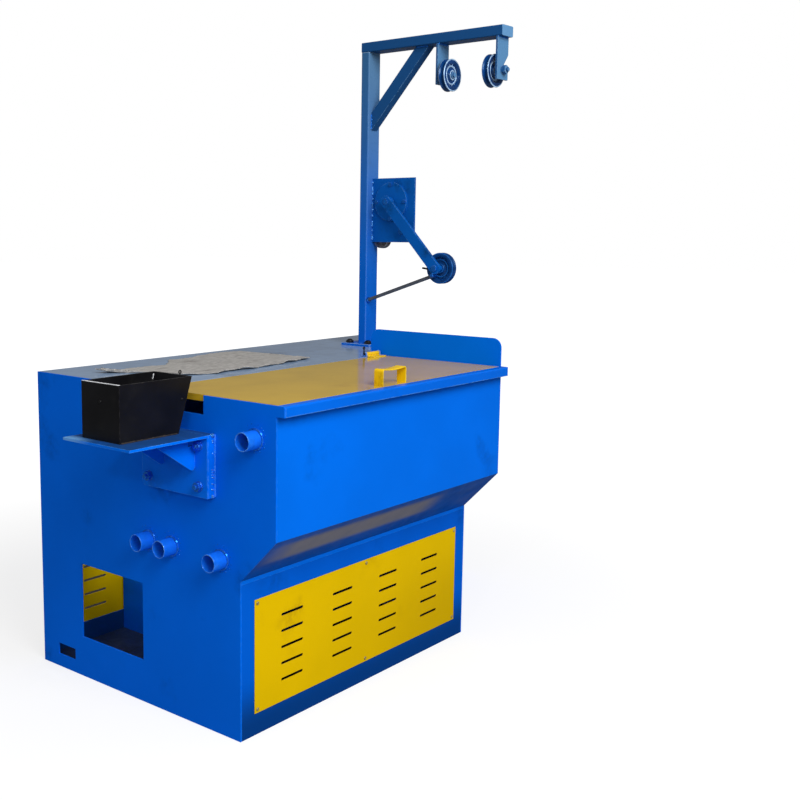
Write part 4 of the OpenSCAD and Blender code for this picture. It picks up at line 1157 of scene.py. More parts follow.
@dataclass
class DieStation:
    """Die box on its shelf, with the standoff frame, bolts and welds.

    Attributes:
        nut: Width of a nut across its flats.
        nut_h: Height of a nut.
        nut_seat: Distance of a nut's seat from the plate.
        bolt_r: Radius of its bolt.
        corner: Radius of the CAD's heads over that of the bolt, which puts the bolts in their box.
        spot_inset: Distance of the weld spots from the standoff's right edge.
        spot_slant: Half the height that a weld spot falls along its length.
        spots: Weld spots as share of the frame's height from its top, length and radius in mm.
        seam_r: Radius of the bead along the standoff.
        bead: Radius of the bead under the box.
        bead_run: Start and end of that bead from the box's left side.
        rim: Width, thickness and edge radius of the worn rim.
        rim_inset: Distance of the rim's middle from the box's left side.
        rim_gap: Distance of the rim's ends from the box's front and back.
        scuff_low: Lower end of the scuff, in mm from the box's rear upper right corner.
        scuff_high: Upper end of the scuff, in the same way.
        scuff_r: Radius of the scuff.
        side_screw: Height of the left side's screw above the box's bottom.
        front_screw: Place of the front's screw from the box's left side and above its bottom.
    """

    nut: float = 27 * MM
    nut_h: float = 13 * MM
    nut_seat: float = 2 * MM
    bolt_r: float = 8 * MM
    corner: float = 1.6
    spot_inset: float = 9 * MM
    spot_slant: float = 2 * MM
    spots: tuple[Point, ...] = (
        (0.015, 18, 5.0), (0.1, 9, 2.2), (0.13, 7, 1.8), (0.3, 5, 1.6), (0.56, 14, 2.2), (0.6, 12, 1.6),
        (0.64, 12, 1.6), (0.68, 13, 2.0), (0.78, 14, 2.2), (0.87, 15, 2.2), (0.97, 15, 3.0), (0.99, 14, 3.0))
    seam_r: float = 3 * MM
    bead: float = 2.6 * MM
    bead_run: tuple[float, float] = (4 * MM, 224 * MM)
    rim: tuple[float, float, float] = (6.4 * MM, 1.6 * MM, 0.5 * MM)
    rim_inset: float = 2.5 * MM
    rim_gap: float = 2 * MM
    scuff_low: Point = (-13, -6, -36)
    scuff_high: Point = (-7, -6, -6)
    scuff_r: float = 2.4 * MM
    side_screw: float = 115 * MM
    front_screw: tuple[float, float] = (243 * MM, 103 * MM)

    def dress(self, nodes: Nodes) -> None:
        """Finish the box, the shelf and the standoff frame.

        Args:
            nodes: The frame's nodes.
        """
        dress(nodes, ["die_box"], BLACK)
        dress(nodes, ["die_shelf", "shelf_standoff"], SHELF)

    def bolts(self) -> None:
        """Make the four painted nuts with their bolt ends and washers."""
        low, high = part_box("shelf_bolts")
        r = self.bolt_r
        side, rise = self.corner * r * math.cos(math.pi / 6), self.corner * r
        end = low.x - high.x
        washer = np.array([[0, 0], [16, 0], [16, -1.6], [15, -2.2], [0, -2.2]]) * MM
        thread = [[0, 0], [r, 0], [r, end + 2 * MM], [r - 1.6 * MM, end], [0, end]]
        shell = Shell()
        for y in (low.y + side, high.y - side):
            for z in (low.z + rise, high.z - rise):
                hexagon_head(shell, (high.x - self.nut_seat, y, z), Axis.X, -1, self.nut, self.nut_h)
                turned(shell, washer, (high.x, y, z), Axis.X, 32)
                turned(shell, thread, (high.x, y, z), Axis.X, 24)
        shell.piece("shelf_nuts", BLUE_BOLT, Body.CABINET, "blue_paint", ["shelf_bolts"])

    def standoff_welds(self) -> None:
        """Add the weld spots, pale with painted glints, on the standoff frame and the seam along it."""
        low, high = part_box("shelf_standoff")
        middle = high.x - self.spot_inset
        spots = Shell()
        for share, long, size in self.spots:
            half = long / 2 * MM
            z = high.z - share * (high.z - low.z)
            start = (middle - half, low.y, z + self.spot_slant)
            end = (middle + half, low.y, z - self.spot_slant)
            weld_bead(spots, seam(start, end, 1 * MM), (0, 1, 0), size * MM)
        spots.piece("standoff_spots", WELD_PAINTED_GLINT, Body.CABINET, "blue_paint")
        x, y = high.x - 1 * MM, low.y - 1 * MM
        along = weld_bead(Shell(), seam((x, y, low.z), (x, y, high.z)), (1, 0, 0), self.seam_r)
        along.piece("standoff_seam", BLUE_FIXED, Body.CABINET, "blue_paint")

    def box_weld(self) -> None:
        """Lay the bead under the box's front."""
        low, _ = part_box("die_box")
        start, end = (low.x + run for run in self.bead_run)
        y, z = low.y - 0.8 * MM, low.z + 1.5 * MM
        bead = weld_bead(Shell(), seam((start, y, z), (end, y, z)), (0, 0, 1), self.bead)
        bead.piece("box_weld", WELD_BROWN, Body.CABINET, "black_paint")

    def box_details(self) -> None:
        """Add the worn rim, the scuff inside the box and two button screws."""
        low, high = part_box("die_box")
        x, z = low.x + self.rim_inset, high.z + 0.1 * MM
        rim = seam((x, low.y + self.rim_gap, z), (x, high.y - self.rim_gap, z), 20 * MM)
        worn = swept(Shell(), rim, (1, 0, 0), strap_section(*self.rim))
        scuff = seam(high + Vector(self.scuff_low) * MM, high + Vector(self.scuff_high) * MM, 2 * MM)
        weld_bead(worn, scuff, (0, 1, 0), self.scuff_r)
        worn.piece("box_worn_rim", BARE, Body.CABINET, "black_paint")
        button = np.array([[0, 0], [5, 0], [4.6, -1.4], [3.2, -2.6], [1.2, -3.1], [0, -3.2]]) * MM
        side = (low.x, (low.y + high.y) / 2, low.z + self.side_screw)
        front = (low.x + self.front_screw[0], low.y, low.z + self.front_screw[1])
        screws = turned(Shell(), button, side, Axis.X, 20)
        turned(screws, button, front, Axis.Y, 20)
        screws.piece("box_screws", BLACKENED, Body.CABINET, "black_paint")

    def build(self, nodes: Nodes) -> None:
        """Dress the station and add its fasteners and welds.

        Args:
            nodes: The frame's nodes.
        """
        self.dress(nodes)
        self.bolts()
        self.standoff_welds()
        self.box_weld()
        self.box_details()


@dataclass
class DrawingCone:
    """Stepped cone that pulls the wire, with its shaft end and bearing flange.

    Attributes:
        step: Width of one step.
        drop: Difference in radius between two steps.
        steps: Number of steps.
        least: Radius of the smallest step.
        nose: Length of the shaft's end in front.
        fillet: Radius of the hollow at a step's foot.
        shaft: Radius of the shaft.
        neck: Radius of the neck behind the steps.
        flange: Radius of the bearing flange.
        flange_h: Thickness of the flange.
        wall: Thickness of the wall that the shaft passes.
        circle: Radius of the circle of bolts on the flange.
        bolts: Number of those bolts.
        bolt: Width of a bolt across its flats.
        bolt_h: Height of its head.
    """

    step: float = 22 * MM
    drop: float = 9 * MM
    steps: int = 8
    least: float = 47 * MM
    nose: float = 8 * MM
    fillet: float = 3.5 * MM
    shaft: float = 20 * MM
    neck: float = 30 * MM
    flange: float = 60 * MM
    flange_h: float = 14 * MM
    wall: float = 6 * MM
    circle: float = 45 * MM
    bolts: int = 4
    bolt: float = 15 * MM
    bolt_h: float = 7 * MM

    def profile(self, length: float) -> np.ndarray:
        """Outline from the front end to the far side of the wall.

        Args:
            length: Length of the whole cone.

        Returns:
            Rows of radius and place behind the front end.
        """
        turn = np.linspace(0, np.pi / 2, 5)[1:-1]
        hollow = self.fillet * np.stack([1 - np.cos(turn), np.sin(turn) - 1], axis=1)
        rows = [[0, 0], [self.shaft - 3 * MM, 0], [self.shaft, 2 * MM], [self.shaft, self.nose]]
        for k in range(self.steps):
            radius = self.least + k * self.drop
            start = self.nose + k * self.step
            end = start + self.step
            rows += [[radius - 1 * MM, start], [radius, start + 1 * MM]]
            if k < self.steps - 1:
                rows += [[radius, end - self.fillet], *(hollow + [radius, end]).tolist(),
                         [radius + self.fillet, end]]
            else:
                rows += [[radius, end - 2 * MM], [radius - 2 * MM, end]]
        back = length - self.wall
        face = back - self.flange_h
        rows += [[self.neck, end], [self.neck, face], [self.flange - 3 * MM, face],
                 [self.flange, face + 3 * MM], [self.flange, back], [self.shaft, back],
                 [self.shaft, length], [0, length]]
        return np.array(rows)

    def build(self, node: str) -> None:
        """Turn one cone in its node's place.

        Args:
            node: Node that it stands for.
        """
        low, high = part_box(node)
        x, z = (low.x + high.x) / 2, (low.z + high.z) / 2
        cone = turned(Shell(), self.profile(high.y - low.y), (x, low.y, z), Axis.Y, 96)
        cone.piece(node + "_turned", CONE, Body.CABINET, "cone_steel", [node], crease=40)
        face = (x, high.y - self.wall - self.flange_h, z)
        heads = Shell()
        for angle in turns(self.bolts) + np.pi / self.bolts:
            seat = around(face, Axis.Y, self.circle, angle)
            hexagon_head(heads, seat, Axis.Y, -1, self.bolt, self.bolt_h)
        heads.piece(node + "_bolts", BLACKENED, Body.CABINET, "dark_steel")


@dataclass
class Mast:
    """Mast with base plate, arm, brace and hangers.

    Attributes:
        bolt: Width of a base bolt across its flats.
        bolt_h: Height of its hexagon.
        dome: Radius and height of the round top on it.
        plate: Thickness of the base plate.
        inset: Distance of the base bolts from the plate's edges.
        bead: Radius of the mast's weld beads.
        offset: Share of that radius by which a bead's line stands off its corner.
        hanger_gap: Distance of a hanger's bead from the hanger's edges.
        brace_gap: Distance of the brace's beads from its corner.
        brace_foot: End of the bead at the brace's foot, above its lower end.
        brace_head: End of the bead at the brace's head, from its front end.
        tacks: Start, end and radius of each weld on the dancer's plate, in mm above its foot.
    """

    bolt: float = 28 * MM
    bolt_h: float = 7 * MM
    dome: tuple[float, float] = (12.5 * MM, 7 * MM)
    plate: float = 12 * MM
    inset: float = 26 * MM
    bead: float = 3 * MM
    offset: float = 0.3
    hanger_gap: float = 3 * MM
    brace_gap: float = 4 * MM
    brace_foot: float = 68 * MM
    brace_head: float = 60 * MM
    tacks: tuple[Point, ...] = ((6, 34, 4.6), (44, 56, 3.4), (62, 92, 3.2), (104, 120, 3.6), (126, 168, 3.0),
                                (176, 188, 3.4), (196, 236, 3.6), (242, 256, 4.4))

    def dress(self, nodes: Nodes) -> None:
        """Finish the tubes and plates.

        Args:
            nodes: The frame's nodes.
        """
        dress(nodes, ["mast_tube", "mast_foot"], BLUE_MAST)
        dress(nodes, ["mast_arm", "mast_brace"], BLUE_ARM)
        dress(nodes, ["dancer_plate", "dancer_flange", "swing_arm"], BLUE_DANCER)
        dress(nodes, ["hanger_rear", "hanger_front"], BLUE_HANGER)

    def foot_bolts(self) -> None:
        """Make the four black bolts of the base plate, each with a round top and on a washer."""
        low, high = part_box("mast_foot")
        face = low.z + self.plate
        washer = np.array([[0, 0], [18, 0], [18, 2], [17, 2.5], [0, 2.5]]) * MM
        seat = face + washer[-1, 1]
        turn = np.linspace(0, np.pi / 2, 7)
        dome = np.stack([self.dome[0] * np.cos(turn), self.dome[1] * np.sin(turn)], axis=1)
        dome = np.concatenate([[[0, 0]], dome])
        shell = Shell()
        for x in (low.x + self.inset, high.x - self.inset):
            for y in (low.y + self.inset, high.y - self.inset):
                turned(shell, washer, (x, y, face), Axis.Z, 32)
                hexagon_head(shell, (x, y, seat), Axis.Z, 1, self.bolt, self.bolt_h)
                turned(shell, dome, (x, y, seat + self.bolt_h - 0.5 * MM), Axis.Z, 32)
        shell.piece("foot_bolts", BLACKENED, Body.CABINET, "dark_steel")

    def welds(self) -> None:
        """Lay beads around the mast's foot, at the brace's ends and over the hangers."""
        r, off = self.bead, self.bead * self.offset
        shell = Shell()
        low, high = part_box("mast_tube")
        z = low.z + off
        for y in (low.y, high.y):
            weld_bead(shell, seam((low.x, y, z), (high.x, y, z)), (0, 0, 1), r)
        for x in (low.x, high.x):
            weld_bead(shell, seam((x, low.y, z), (x, high.y, z)), (0, 0, 1), r)
        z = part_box("mast_arm")[0].z - off
        for name in ("hanger_rear", "hanger_front"):
            low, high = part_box(name)
            start, end = low.x + self.hanger_gap, high.x - self.hanger_gap
            for y in (low.y, high.y):
                weld_bead(shell, seam((start, y, z), (end, y, z)), (0, 0, 1), r)
        low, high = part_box("mast_brace")
        y, z = high.y - off, high.z - off
        for x in (low.x, high.x):
            foot = seam((x, y, low.z + self.brace_gap), (x, y, low.z + self.brace_foot))
            head = seam((x, low.y + self.brace_gap, z), (x, low.y + self.brace_head, z))
            weld_bead(shell, foot, (1, 0, 0), r)
            weld_bead(shell, head, (1, 0, 0), r)
        shell.piece("mast_welds", WELD, Body.CABINET, "blue_paint")

    def plate_weld(self) -> None:
        """Lay the broken bead between the dancer's plate and the mast, pale with painted glints."""
        low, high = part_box("dancer_plate")
        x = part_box("dancer_flange")[1].x - 0.5 * self.bead
        y = high.y - 0.6 * self.bead
        shell = Shell()
        for start, end, size in self.tacks:
            run = seam((x, y, low.z + start * MM), (x, y, low.z + end * MM), 2 * MM)
            weld_bead(shell, run, (1, 0, 0), size * MM)
        shell.piece("dancer_plate_weld", WELD_PAINTED_GLINT, Body.CABINET, "blue_paint")

    def build(self, nodes: Nodes) -> None:
        """Dress the mast and add its bolts and welds.

        Args:
            nodes: The frame's nodes.
        """
        self.dress(nodes)
        self.foot_bolts()
        self.welds()
        self.plate_weld()


@dataclass
class Pulley:
    """Grooved pulley with a dished web, raised ring and hub.

    Attributes:
        radius: Outer radius.
        width: Width over the rim.
        groove: Depth of the groove.
        bore: Radius of the bore.
        hub: Radius of the hub.
        ring: Radius of the raised ring.
        web: Half the web's thickness.
        rim: Height of the rim's inner face above the groove's bottom.
        soft: Rounding of the edges.
        dots: Radius of the circle of drops on the web.
        dot_count: Number of drops on a side.
        dot_start: Angle of the first drop, in radians.
        crest_highlight: Finish of the painted highlights on the crests.
    """

    radius: float = 63 * MM
    width: float = 28 * MM
    groove: float = 14 * MM
    bore: float = 8.1 * MM
    hub: float = 20 * MM
    ring: float = 36 * MM
    web: float = 5 * MM
    rim: float = 4 * MM
    soft: float = 1.2 * MM
    dots: float = 40.2 * MM
    dot_count: int = 14
    dot_start: float = 0.2
    crest_highlight: Finish = CREST_HIGHLIGHT

    def profile(self) -> np.ndarray:
        """Half outline from the bore over hub, ring and rim to the groove, then mirrored.

        Each stretch is a list of steps in mm from its own radius and height.

        Returns:
            Rows of radius and place along the axis, closed on itself.
        """
        half = self.width / 2
        deep = self.radius - self.groove
        inner = deep - self.rim
        soft = self.soft / MM
        stretches = (
            ((self.bore, half), ((0, -soft), (soft, 0))),
            ((self.hub, half), ((-soft, 0), (0, -soft))),
            ((self.hub, self.web), ((1.5, soft), (3, 0))),
            ((self.ring, self.web), ((-5, 0), (-3.6, 2.4), (-2.4, 3), (-0.6, 3), (0.6, 1.6), (1.6, 0))),
            ((inner, self.web), ((-2.5, 0), (-0.4, 2))),
            ((inner, half), ((0, -soft), (soft, 0))),
            ((self.radius, half), ((-2.4, 0), (-0.7, -0.7), (0, -2.4), (0, -3.6), (-1, -4.8))),
            ((deep, 0), ((4, 4.4), (1, 2.6), (0, 1))))
        side = np.concatenate([np.array(base) + np.array(steps) * MM for base, steps in stretches])
        return np.concatenate([side, side[::-1] * [1, -1], side[:1]])

    def crests(self) -> list[tuple[Point, Point]]:
        """Places and sizes of the painted highlight bands on one side.

        Returns:
            For rim, ring and hub the band's radius and place along the axis, and its half sizes.
        """
        half = self.width / 2
        return [((self.radius - 2.9 * MM, half - 1.6 * MM), (2.9 * MM, 2.0 * MM)),
                ((self.ring - 1.4 * MM, self.web + 1.8 * MM), (3.0 * MM, 2.2 * MM)),
                ((self.hub - 3.2 * MM, half - 1.4 * MM), (3.0 * MM, 2.0 * MM))]

    def build(self, node: str, axis: Axis, body: Body) -> None:
        """Turn the pulley in the node's place, with its bands and drops of paint, pale as painted
        highlights.

        Args:
            node: Node that it stands for.
            axis: Axis of the pulley.
            body: Body that it turns with.
        """
        low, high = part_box(node)
        middle = (low + high) / 2
        wheel = turned(Shell(), self.profile(), middle, axis, 96)
        wheel.piece(node + "_turned", BLUE_PULLEY, body, "blue_paint", [node], crease=50)
        oval = ring_section(1.0)
        oval = np.concatenate([oval, oval[:1]])
        dome = np.array([[0, -0.5], [2.6, -0.5], [2.3, 0.4], [1.5, 1.2], [0, 1.6]]) * MM + [0, self.web]
        bands, drops = Shell(), Shell()
        for way in (1, -1):
            for place, size in self.crests():
                turned(bands, (oval * size + place) * [1, way], middle, axis, 72)
            for angle in turns(self.dot_count) + self.dot_start:
                turned(drops, dome * [1, way], around(middle, axis, self.dots, angle), axis, 10)
        bands.piece(node + "_bands", self.crest_highlight, body, "blue_paint")
        drops.piece(node + "_drops", self.crest_highlight, body, "blue_paint")


@dataclass
class Axle:
    """Fixed pulley axle with spacer, washer, bolt head and nut.

    Attributes:
        radius: Radius of the axle.
        collar: Radius of the spacer and of the end disk.
        spacer: Length of the spacer between hanger and pulley.
        plate: Thickness of the hanger.
        pulley: Width of the pulley with its side gaps.
        disk: Thickness of the end disk.
        head: Width of the bolt head across its flats.
        head_h: Height of the bolt head.
        tail: How far the axle reaches behind the hanger.
        nut: Width of the nut across its flats.
        nut_h: Height of the nut.
    """

    radius: float = 8 * MM
    collar: float = 13 * MM
    spacer: float = 18 * MM
    plate: float = 8 * MM
    pulley: float = 29 * MM
    disk: float = 3 * MM
    head: float = 18 * MM
    head_h: float = 7 * MM
    tail: float = 28 * MM
    nut: float = 30 * MM
    nut_h: float = 16 * MM

    def build(self, node: str, hanger: str, way: int) -> None:
        """Make an axle along Y.

        Args:
            node: Node that it stands for.
            hanger: Hanger that carries it.
            way: -1 where the pulley is in front of the hanger, 1 where it is behind.
        """
        low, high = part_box(node)
        x, z = (low.x + high.x) / 2, (low.z + high.z) / 2
        plate_low, plate_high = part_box(hanger)
        face = plate_low.y if way < 0 else plate_high.y
        end = self.spacer + self.pulley
        tip = end + self.disk
        back = -self.plate - self.tail
        r, wide = self.radius, self.collar
        rod = np.array([[0, back], [r - 1.5 * MM, back], [r, back + 1.5 * MM], [r, 0], [wide, 0],
                        [wide, self.spacer], [r, self.spacer], [r, end], [wide, end],
                        [wide, tip - 0.6 * MM], [wide - 1 * MM, tip], [0, tip]])
        washer = np.array([[0, 0], [16, 0], [16, -2], [15, -2.6], [0, -2.6]]) * MM
        seat = face - way * self.plate
        under = seat + way * washer[-1, 1]
        shell = turned(Shell(), rod * [1, way], (x, face, z), Axis.Y, 40)
        turned(shell, washer * [1, way], (x, seat, z), Axis.Y, 40)
        hexagon_head(shell, (x, under, z), Axis.Y, -way, self.nut, self.nut_h)
        hexagon_head(shell, (x, face + way * tip, z), Axis.Y, way, self.head, self.head_h)
        shell.piece(node + "_bolt", BLUE_HANGER, Body.CABINET, "blue_paint", [node])


@dataclass
class Dancer:
    """Swing arm with its bearing flange, rest rod and sensor housing.

    Attributes:
        rod_r: Radius of the rest rod.
        pin_r: Radius of the pin that the arm rests on.
        boss_r: Radius of the boss at the rod's foot.
        boss_h: Height of that boss along the rod.
        wire_r: Radius of the hook wire.
        hook_bend: Radius of the bend in the hook.
        foot: Height of the rod's foot above the floor.
        rest_dir: Direction from the arm's tip to the pin, from straight down, in degrees.
        rest_gap: Gap between the arm's edge and the pin.
        arm_w: Width of the swing arm.
        shaft_r: Radius of the shaft's end at the pivot.
        circle: Radius of the circle of the flange's bolts.
        flange_seat: Distance of their seat from the flange's left side.
        arm_seat: Distance of the arm's bolt seats from its left side.
        flange_bolt: Width across the flats and height of a flange bolt.
        tip_bolt: The same for the bolt at the arm's tip.
        plate_bolt: The same for the plate's own bolt.
        plate_place: Place of that bolt in front of the pivot and above the plate's foot.
        pivot: Middle of the bearing flange.
        tip: Middle of the dancer pulley, where the arm ends.
    """

    rod_r: float = 7.5 * MM
    pin_r: float = 8 * MM
    boss_r: float = 12 * MM
    boss_h: float = 9 * MM
    wire_r: float = 4 * MM
    hook_bend: float = 9 * MM
    foot: float = 1.246
    rest_dir: float = 26.0
    rest_gap: float = 0.3 * MM
    arm_w: float = 46 * MM
    shaft_r: float = 13 * MM
    circle: float = 70 * MM
    flange_seat: float = 5 * MM
    arm_seat: float = 7 * MM
    flange_bolt: tuple[float, float] = (15 * MM, 6 * MM)
    tip_bolt: tuple[float, float] = (21.4 * MM, 8 * MM)
    plate_bolt: tuple[float, float] = (23 * MM, 9 * MM)
    plate_place: tuple[float, float] = (51.2 * MM, 45 * MM)
    pivot: Vector = field(default_factory=Vector)
    tip: Vector = field(default_factory=Vector)

    def measure(self) -> None:
        """Read the pivot and the arm's tip from the solids."""
        low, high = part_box("dancer_flange")
        self.pivot = (low + high) / 2
        low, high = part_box("dancer_pulley")
        self.tip = (low + high) / 2

    def flange_bolts(self) -> None:
        """Add the four bolts of the bearing flange and the separate bolt of the plate."""
        low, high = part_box("dancer_flange")
        seat = (low.x + self.flange_seat, self.pivot.y, self.pivot.z)
        shell = Shell()
        for angle in turns(4):
            hexagon_head(shell, around(seat, Axis.X, self.circle, angle), Axis.X, -1, *self.flange_bolt)
        plate_low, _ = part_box("dancer_plate")
        ahead, above = self.plate_place
        seat = (high.x, self.pivot.y - ahead, plate_low.z + above)
        hexagon_head(shell, seat, Axis.X, -1, *self.plate_bolt)
        shell.piece("flange_bolts", BLUE_BOLT, Body.CABINET, "blue_paint")

    def arm_bolts(self) -> None:
        """Add the bolt head at the arm's tip and the shaft end at its pivot."""
        low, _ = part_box("swing_arm")
        face = low.x + self.arm_seat
        shell = hexagon_head(Shell(), (face, self.tip.y, self.tip.z), Axis.X, -1, *self.tip_bolt)
        r = self.shaft_r / MM
        stub = np.array([[0, 0], [r, 0], [r, -2.4], [r - 1, -3.2], [5, -3.2], [4, -2], [0, -2]]) * MM
        turned(shell, stub, (face, self.pivot.y, self.pivot.z), Axis.X, 40)
        shell.piece("arm_bolts", BLUE_BOLT, Body.SWING_ARM, "blue_paint")

    def rest(self) -> None:
        """Make the rest rod, its boss and cross pin, and the bent hook wire.

        The pin lies at rest_dir from the arm's tip, as far as half the arm's width, its
        own radius and the gap, and the rod runs to it from its foot on the mast.
        """
        low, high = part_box("rest_rod")
        mast_low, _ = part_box("mast_tube")
        x = high.x - self.boss_r
        gap = self.arm_w / 2 + self.pin_r + self.rest_gap
        turn = math.radians(self.rest_dir)
        pin = np.array([x, self.tip.y + gap * math.sin(turn), self.tip.z - gap * math.cos(turn)])
        foot = np.array([x, mast_low.y, self.foot])
        away = (pin - foot) / np.linalg.norm(pin - foot)
        bar = swept(Shell(), seam(foot, pin, 30 * MM), (1, 0, 0), ring_section(self.rod_r, 24))
        bar.piece("rest_bar", ROD, Body.CABINET, "steel_rod", ["rest_rod"])
        boss = seam(foot, foot + away * self.boss_h, 4 * MM)
        shell = swept(Shell(), boss, (1, 0, 0), ring_section(self.boss_r, 24))
        r, long = self.pin_r, x + self.rod_r - low.x
        outline = [[0, 0], [r - 1 * MM, 0], [r, 1 * MM], [r, long - 1 * MM], [r - 1 * MM, long],
                   [3 * MM, long], [2 * MM, long - 2 * MM], [0, long - 2 * MM]]
        turned(shell, outline, (low.x, pin[1], pin[2]), Axis.X, 24)
        shell.piece("rest_pin", BLUE_BOLT, Body.CABINET, "blue_paint")
        corners = pin + np.array([[0, 6, 5], [0, 27, 24], [0, 60, 28]]) * MM
        wire = round_corners(corners, self.hook_bend)
        hook = swept(Shell(), wire, (1, 0, 0), ring_section(self.wire_r))
        hook.piece("rest_hook", BLACKENED, Body.CABINET, "dark_steel")

    def sensor(self) -> None:
        """Turn the crimped zinc housing behind the plate."""
        low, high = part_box("sensor_housing")
        centre = (low.x, (low.y + high.y) / 2, (low.z + high.z) / 2)
        r = (high.z - low.z) / 2 / MM
        long = (high.x - low.x) / MM
        outline = np.array([
            [0, 0], [r - 1, 0], [r - 1, 4], [r - 3, 5], [r - 3, 9], [r - 0.6, 11], [r, 12], [r, long - 3],
            [r - 0.8, long - 1], [r - 3, long], [r - 6, long], [r - 7, long - 2], [0.4 * r, long - 2.4],
            [0.36 * r, long - 1], [0, long - 1]]) * MM
        can = turned(Shell(), outline, centre, Axis.X, 64)
        can.piece("sensor_can", ZINC, Body.CABINET, "zinc", ["sensor_housing"])

    def build(self) -> None:
        """Make the dancer's small parts."""
        self.measure()
        self.flange_bolts()
        self.arm_bolts()
        self.rest()
        self.sensor()


@dataclass(frozen=True)
class Lamp:
    """Round lamp.

    Attributes:
        name: Name of the lamp.
        power: Its power, in watts.
        size: Its diameter.
        place: Where it hangs.
        aim: Point that it faces.
    """

    name: str
    power: float
    size: float
    place: Point
    aim: Point

    def hang(self) -> None:
        """Hang the lamp in the scene."""
        light = bpy.data.lights.new(self.name, "AREA")
        light.energy = self.power
        light.shape = "DISK"
        light.size = self.size
        made = put(self.name, light)
        made.location = self.place
        made.rotation_euler = (Vector(self.aim) - Vector(self.place)).to_track_quat("-Z", "Y").to_euler()


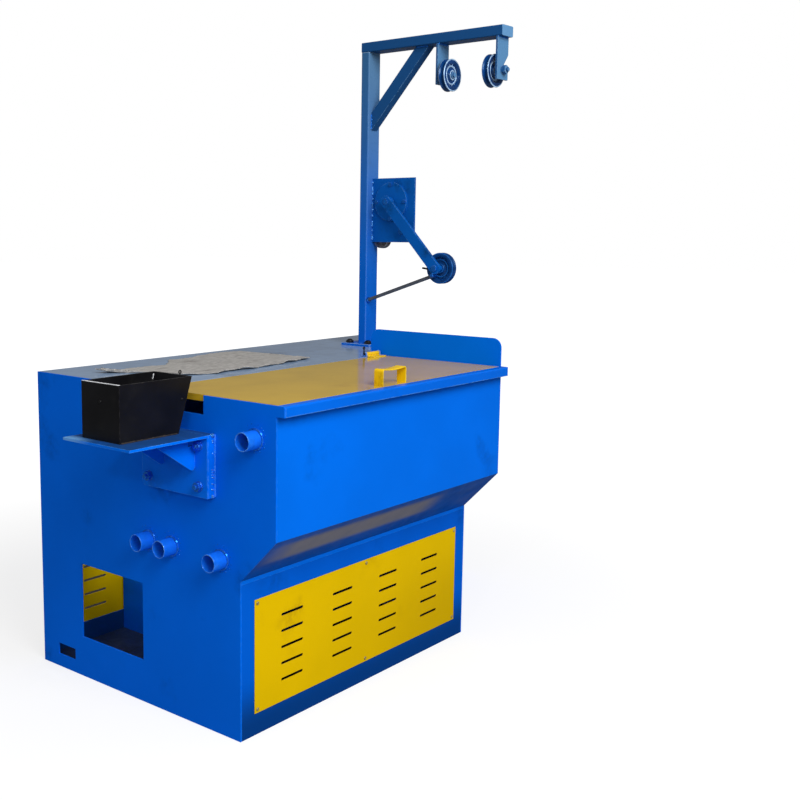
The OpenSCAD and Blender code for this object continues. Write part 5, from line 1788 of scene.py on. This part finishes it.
@dataclass
class Studio:
    """Camera, lamps, world and floor.

    Attributes:
        eye: Place of the camera.
        yaw: Turn of the view from +Y towards +X, in radians.
        pitch: How far the view looks down, in radians.
        roll: Turn of the picture, in radians.
        focal_px: Focal length in pixels of the picture.
        centre_px: Where the lens axis meets the picture.
        picture: Width of the picture in pixels.
        sensor: Width of the sensor, in mm.
        sight: Distance to which the camera sees.
        lamps: A broad lamp in front, a small one for glints and a weak one inside the cabinet.
        sky: Strength of the world on the object.
        mirror: Strength of the world in reflections.
        floor_half: Half the floor's width.
        floor_grey: Colour of the floor, lit and in the cabinet's shade.
        glow: Light that the floor shows to the camera on top of what it scatters, near and far.
        glow_reach: Distances from the middle between which that light changes.
        shade_side: Direction on the floor in which the cabinet's shade begins.
        shade_edge: Places along it between which the shade begins.
        shade: Share of the floor's light that the shade takes.
        shade_limits: Axis, two places and the two shares between them, for each end of the shade.
    """

    eye: Point = (-2.9040, -2.6611, 1.5441)
    yaw: float = 0.8500
    pitch: float = 0.1337
    roll: float = 0.00374
    focal_px: float = 1096.03
    centre_px: tuple[float, float] = (283.28, 376.96)
    picture: float = 800.0
    sensor: float = 36.0
    sight: float = 60.0
    lamps: tuple[Lamp, ...] = (
        Lamp("front_lamp", 232.0, 3.2, (-1.45, -4.2, 4.0), (0, -0.63, 0.85)),
        Lamp("glint_lamp", 20.0, 0.3, (-4.6, -2.4, 3.0), (-0.5, -0.2, 0.7)),
        Lamp("cabinet_fill", 0.34, 0.15, (-0.3, 0.3, 0.4), (-0.2, 0.48, 0.14)))
    sky: float = 0.42
    mirror: float = 0.16
    floor_half: float = 40.0
    floor_grey: tuple[float, float] = (0.34, 0.05)
    glow: tuple[float, float] = (0.72, 0.96)
    glow_reach: tuple[float, float] = (1.2, 4.5)
    shade_side: Point = (0.809, -0.587, 0.0)
    shade_edge: tuple[float, float] = (-0.77, -0.64)
    shade: float = 0.985
    shade_limits: tuple[tuple[Axis, float, float, Point], ...] = (
        (Axis.X, 0.5, 0.9, (1.0, 0.0)), (Axis.Y, 0.44, 0.5, (0.0, 1.0)), (Axis.Y, 1.3, 1.8, (1.0, 0.0)))

    def camera(self) -> None:
        """Place the camera where the photograph was taken."""
        flat = math.cos(self.pitch)
        forward = Vector((math.sin(self.yaw) * flat, math.cos(self.yaw) * flat, -math.sin(self.pitch)))
        level = Vector((math.cos(self.yaw), -math.sin(self.yaw), 0))
        upright = level.cross(forward)
        right = math.cos(self.roll) * level + math.sin(self.roll) * upright
        up = math.cos(self.roll) * upright - math.sin(self.roll) * level
        lens = bpy.data.cameras.new("photo_camera")
        lens.sensor_width = self.sensor
        lens.lens = self.focal_px * self.sensor / self.picture
        lens.shift_x = 0.5 - self.centre_px[0] / self.picture
        lens.shift_y = self.centre_px[1] / self.picture - 0.5
        lens.clip_end = self.sight
        made = put("photo_camera", lens)
        turn = Matrix((right, up, -forward)).transposed().to_4x4()
        made.matrix_world = Matrix.Translation(self.eye) @ turn
        bpy.context.scene.camera = made

    def world(self) -> None:
        """Make a white backdrop that lights the object more softly than it looks."""
        world = bpy.data.worlds.new("soft_world")
        graph = Graph(world)
        glossy = graph.add("ShaderNodeLightPath").outputs["Is Glossy Ray"]
        soft = graph.add("ShaderNodeMapRange", {"Value": glossy, "To Min": self.sky, "To Max": self.mirror})
        shown = {"Value": graph.seen(), "To Min": soft.outputs[0], "To Max": 1.0}
        strength = graph.add("ShaderNodeMapRange", shown).outputs[0]
        back = graph.add("ShaderNodeBackground", {"Color": (1, 1, 1, 1), "Strength": strength})
        graph.add("ShaderNodeOutputWorld", {0: back.outputs[0]})
        bpy.context.scene.world = world

    def shaded(self, graph: Graph) -> Socket:
        """Share of the cabinet's shade on the floor, begun along one direction and ended along the axes.

        Args:
            graph: Tree of the floor's material.

        Returns:
            The share's socket.
        """
        along = graph.dot(graph.place(), self.shade_side)
        share = graph.span(along, *self.shade_edge, (0.0, self.shade))
        for axis, low, high, to in self.shade_limits:
            share = graph.times(share, graph.span(graph.part(graph.place(), axis), low, high, to))
        return share

    def floor(self) -> None:
        """Lay the pale floor, which looks white to the camera apart from its shadows."""
        material = bpy.data.materials.new("pale_floor")
        graph = Graph(material)
        shade = self.shaded(graph)
        lit, dark = ((grey,) * 3 for grey in self.floor_grey)
        matte = graph.add("ShaderNodeBsdfDiffuse", {0: graph.blend(shade, lit, dark)}).outputs[0]
        away = graph.add("ShaderNodeVectorMath", {0: graph.place()}, operation="LENGTH").outputs["Value"]
        left = graph.combine("SUBTRACT", 1.0, shade)
        strength = graph.times(graph.span(away, *self.glow_reach, self.glow), left)
        glow = graph.add("ShaderNodeEmission", {"Color": (1, 1, 1, 1), "Strength": strength}).outputs[0]
        both = graph.add("ShaderNodeAddShader", {0: matte, 1: glow}).outputs[0]
        pick = graph.add("ShaderNodeMixShader", {0: graph.seen(), 1: matte, 2: both}).outputs[0]
        graph.add("ShaderNodeOutputMaterial", {"Surface": pick})
        mesh = bpy.data.meshes.new("studio_floor")
        half = self.floor_half
        mesh.from_pydata([(-half, -half, 0), (half, -half, 0), (half, half, 0), (-half, half, 0)], [],
                         [(0, 1, 2, 3)])
        mesh.materials.append(material)
        put("studio_floor", mesh)

    def build(self) -> None:
        """Set up the whole studio."""
        self.camera()
        for lamp in self.lamps:
            lamp.hang()
        self.world()
        self.floor()
        bpy.context.scene.view_settings.view_transform = "Standard"


def main() -> None:
    """Build the machine's look in order."""
    logging.basicConfig(level=logging.INFO, format="%(name)s: %(message)s")
    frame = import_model()
    nodes = frame["nodes"]
    Studio().build()
    Cabinet().build(nodes)
    PipeStubs().build()
    TankLid().build(nodes)
    TableMat().build()
    DieStation().build(nodes)
    DrawingCone().build("cone_left")
    DrawingCone().build("cone_right")
    Mast().build(nodes)
    Pulley().build("guide_pulley_rear", Axis.Y, Body.GUIDE_REAR)
    Pulley().build("guide_pulley_front", Axis.Y, Body.GUIDE_FRONT)
    Pulley(crest_highlight=CREST_HIGHLIGHT_DULL).build("dancer_pulley", Axis.X, Body.DANCER_PULLEY)
    Axle(tail=9 * MM, nut=22 * MM, nut_h=5 * MM).build("axle_rear", "hanger_rear", -1)
    Axle().build("axle_front", "hanger_front", 1)
    Dancer().build()


if __name__ == "__main__":
    main()
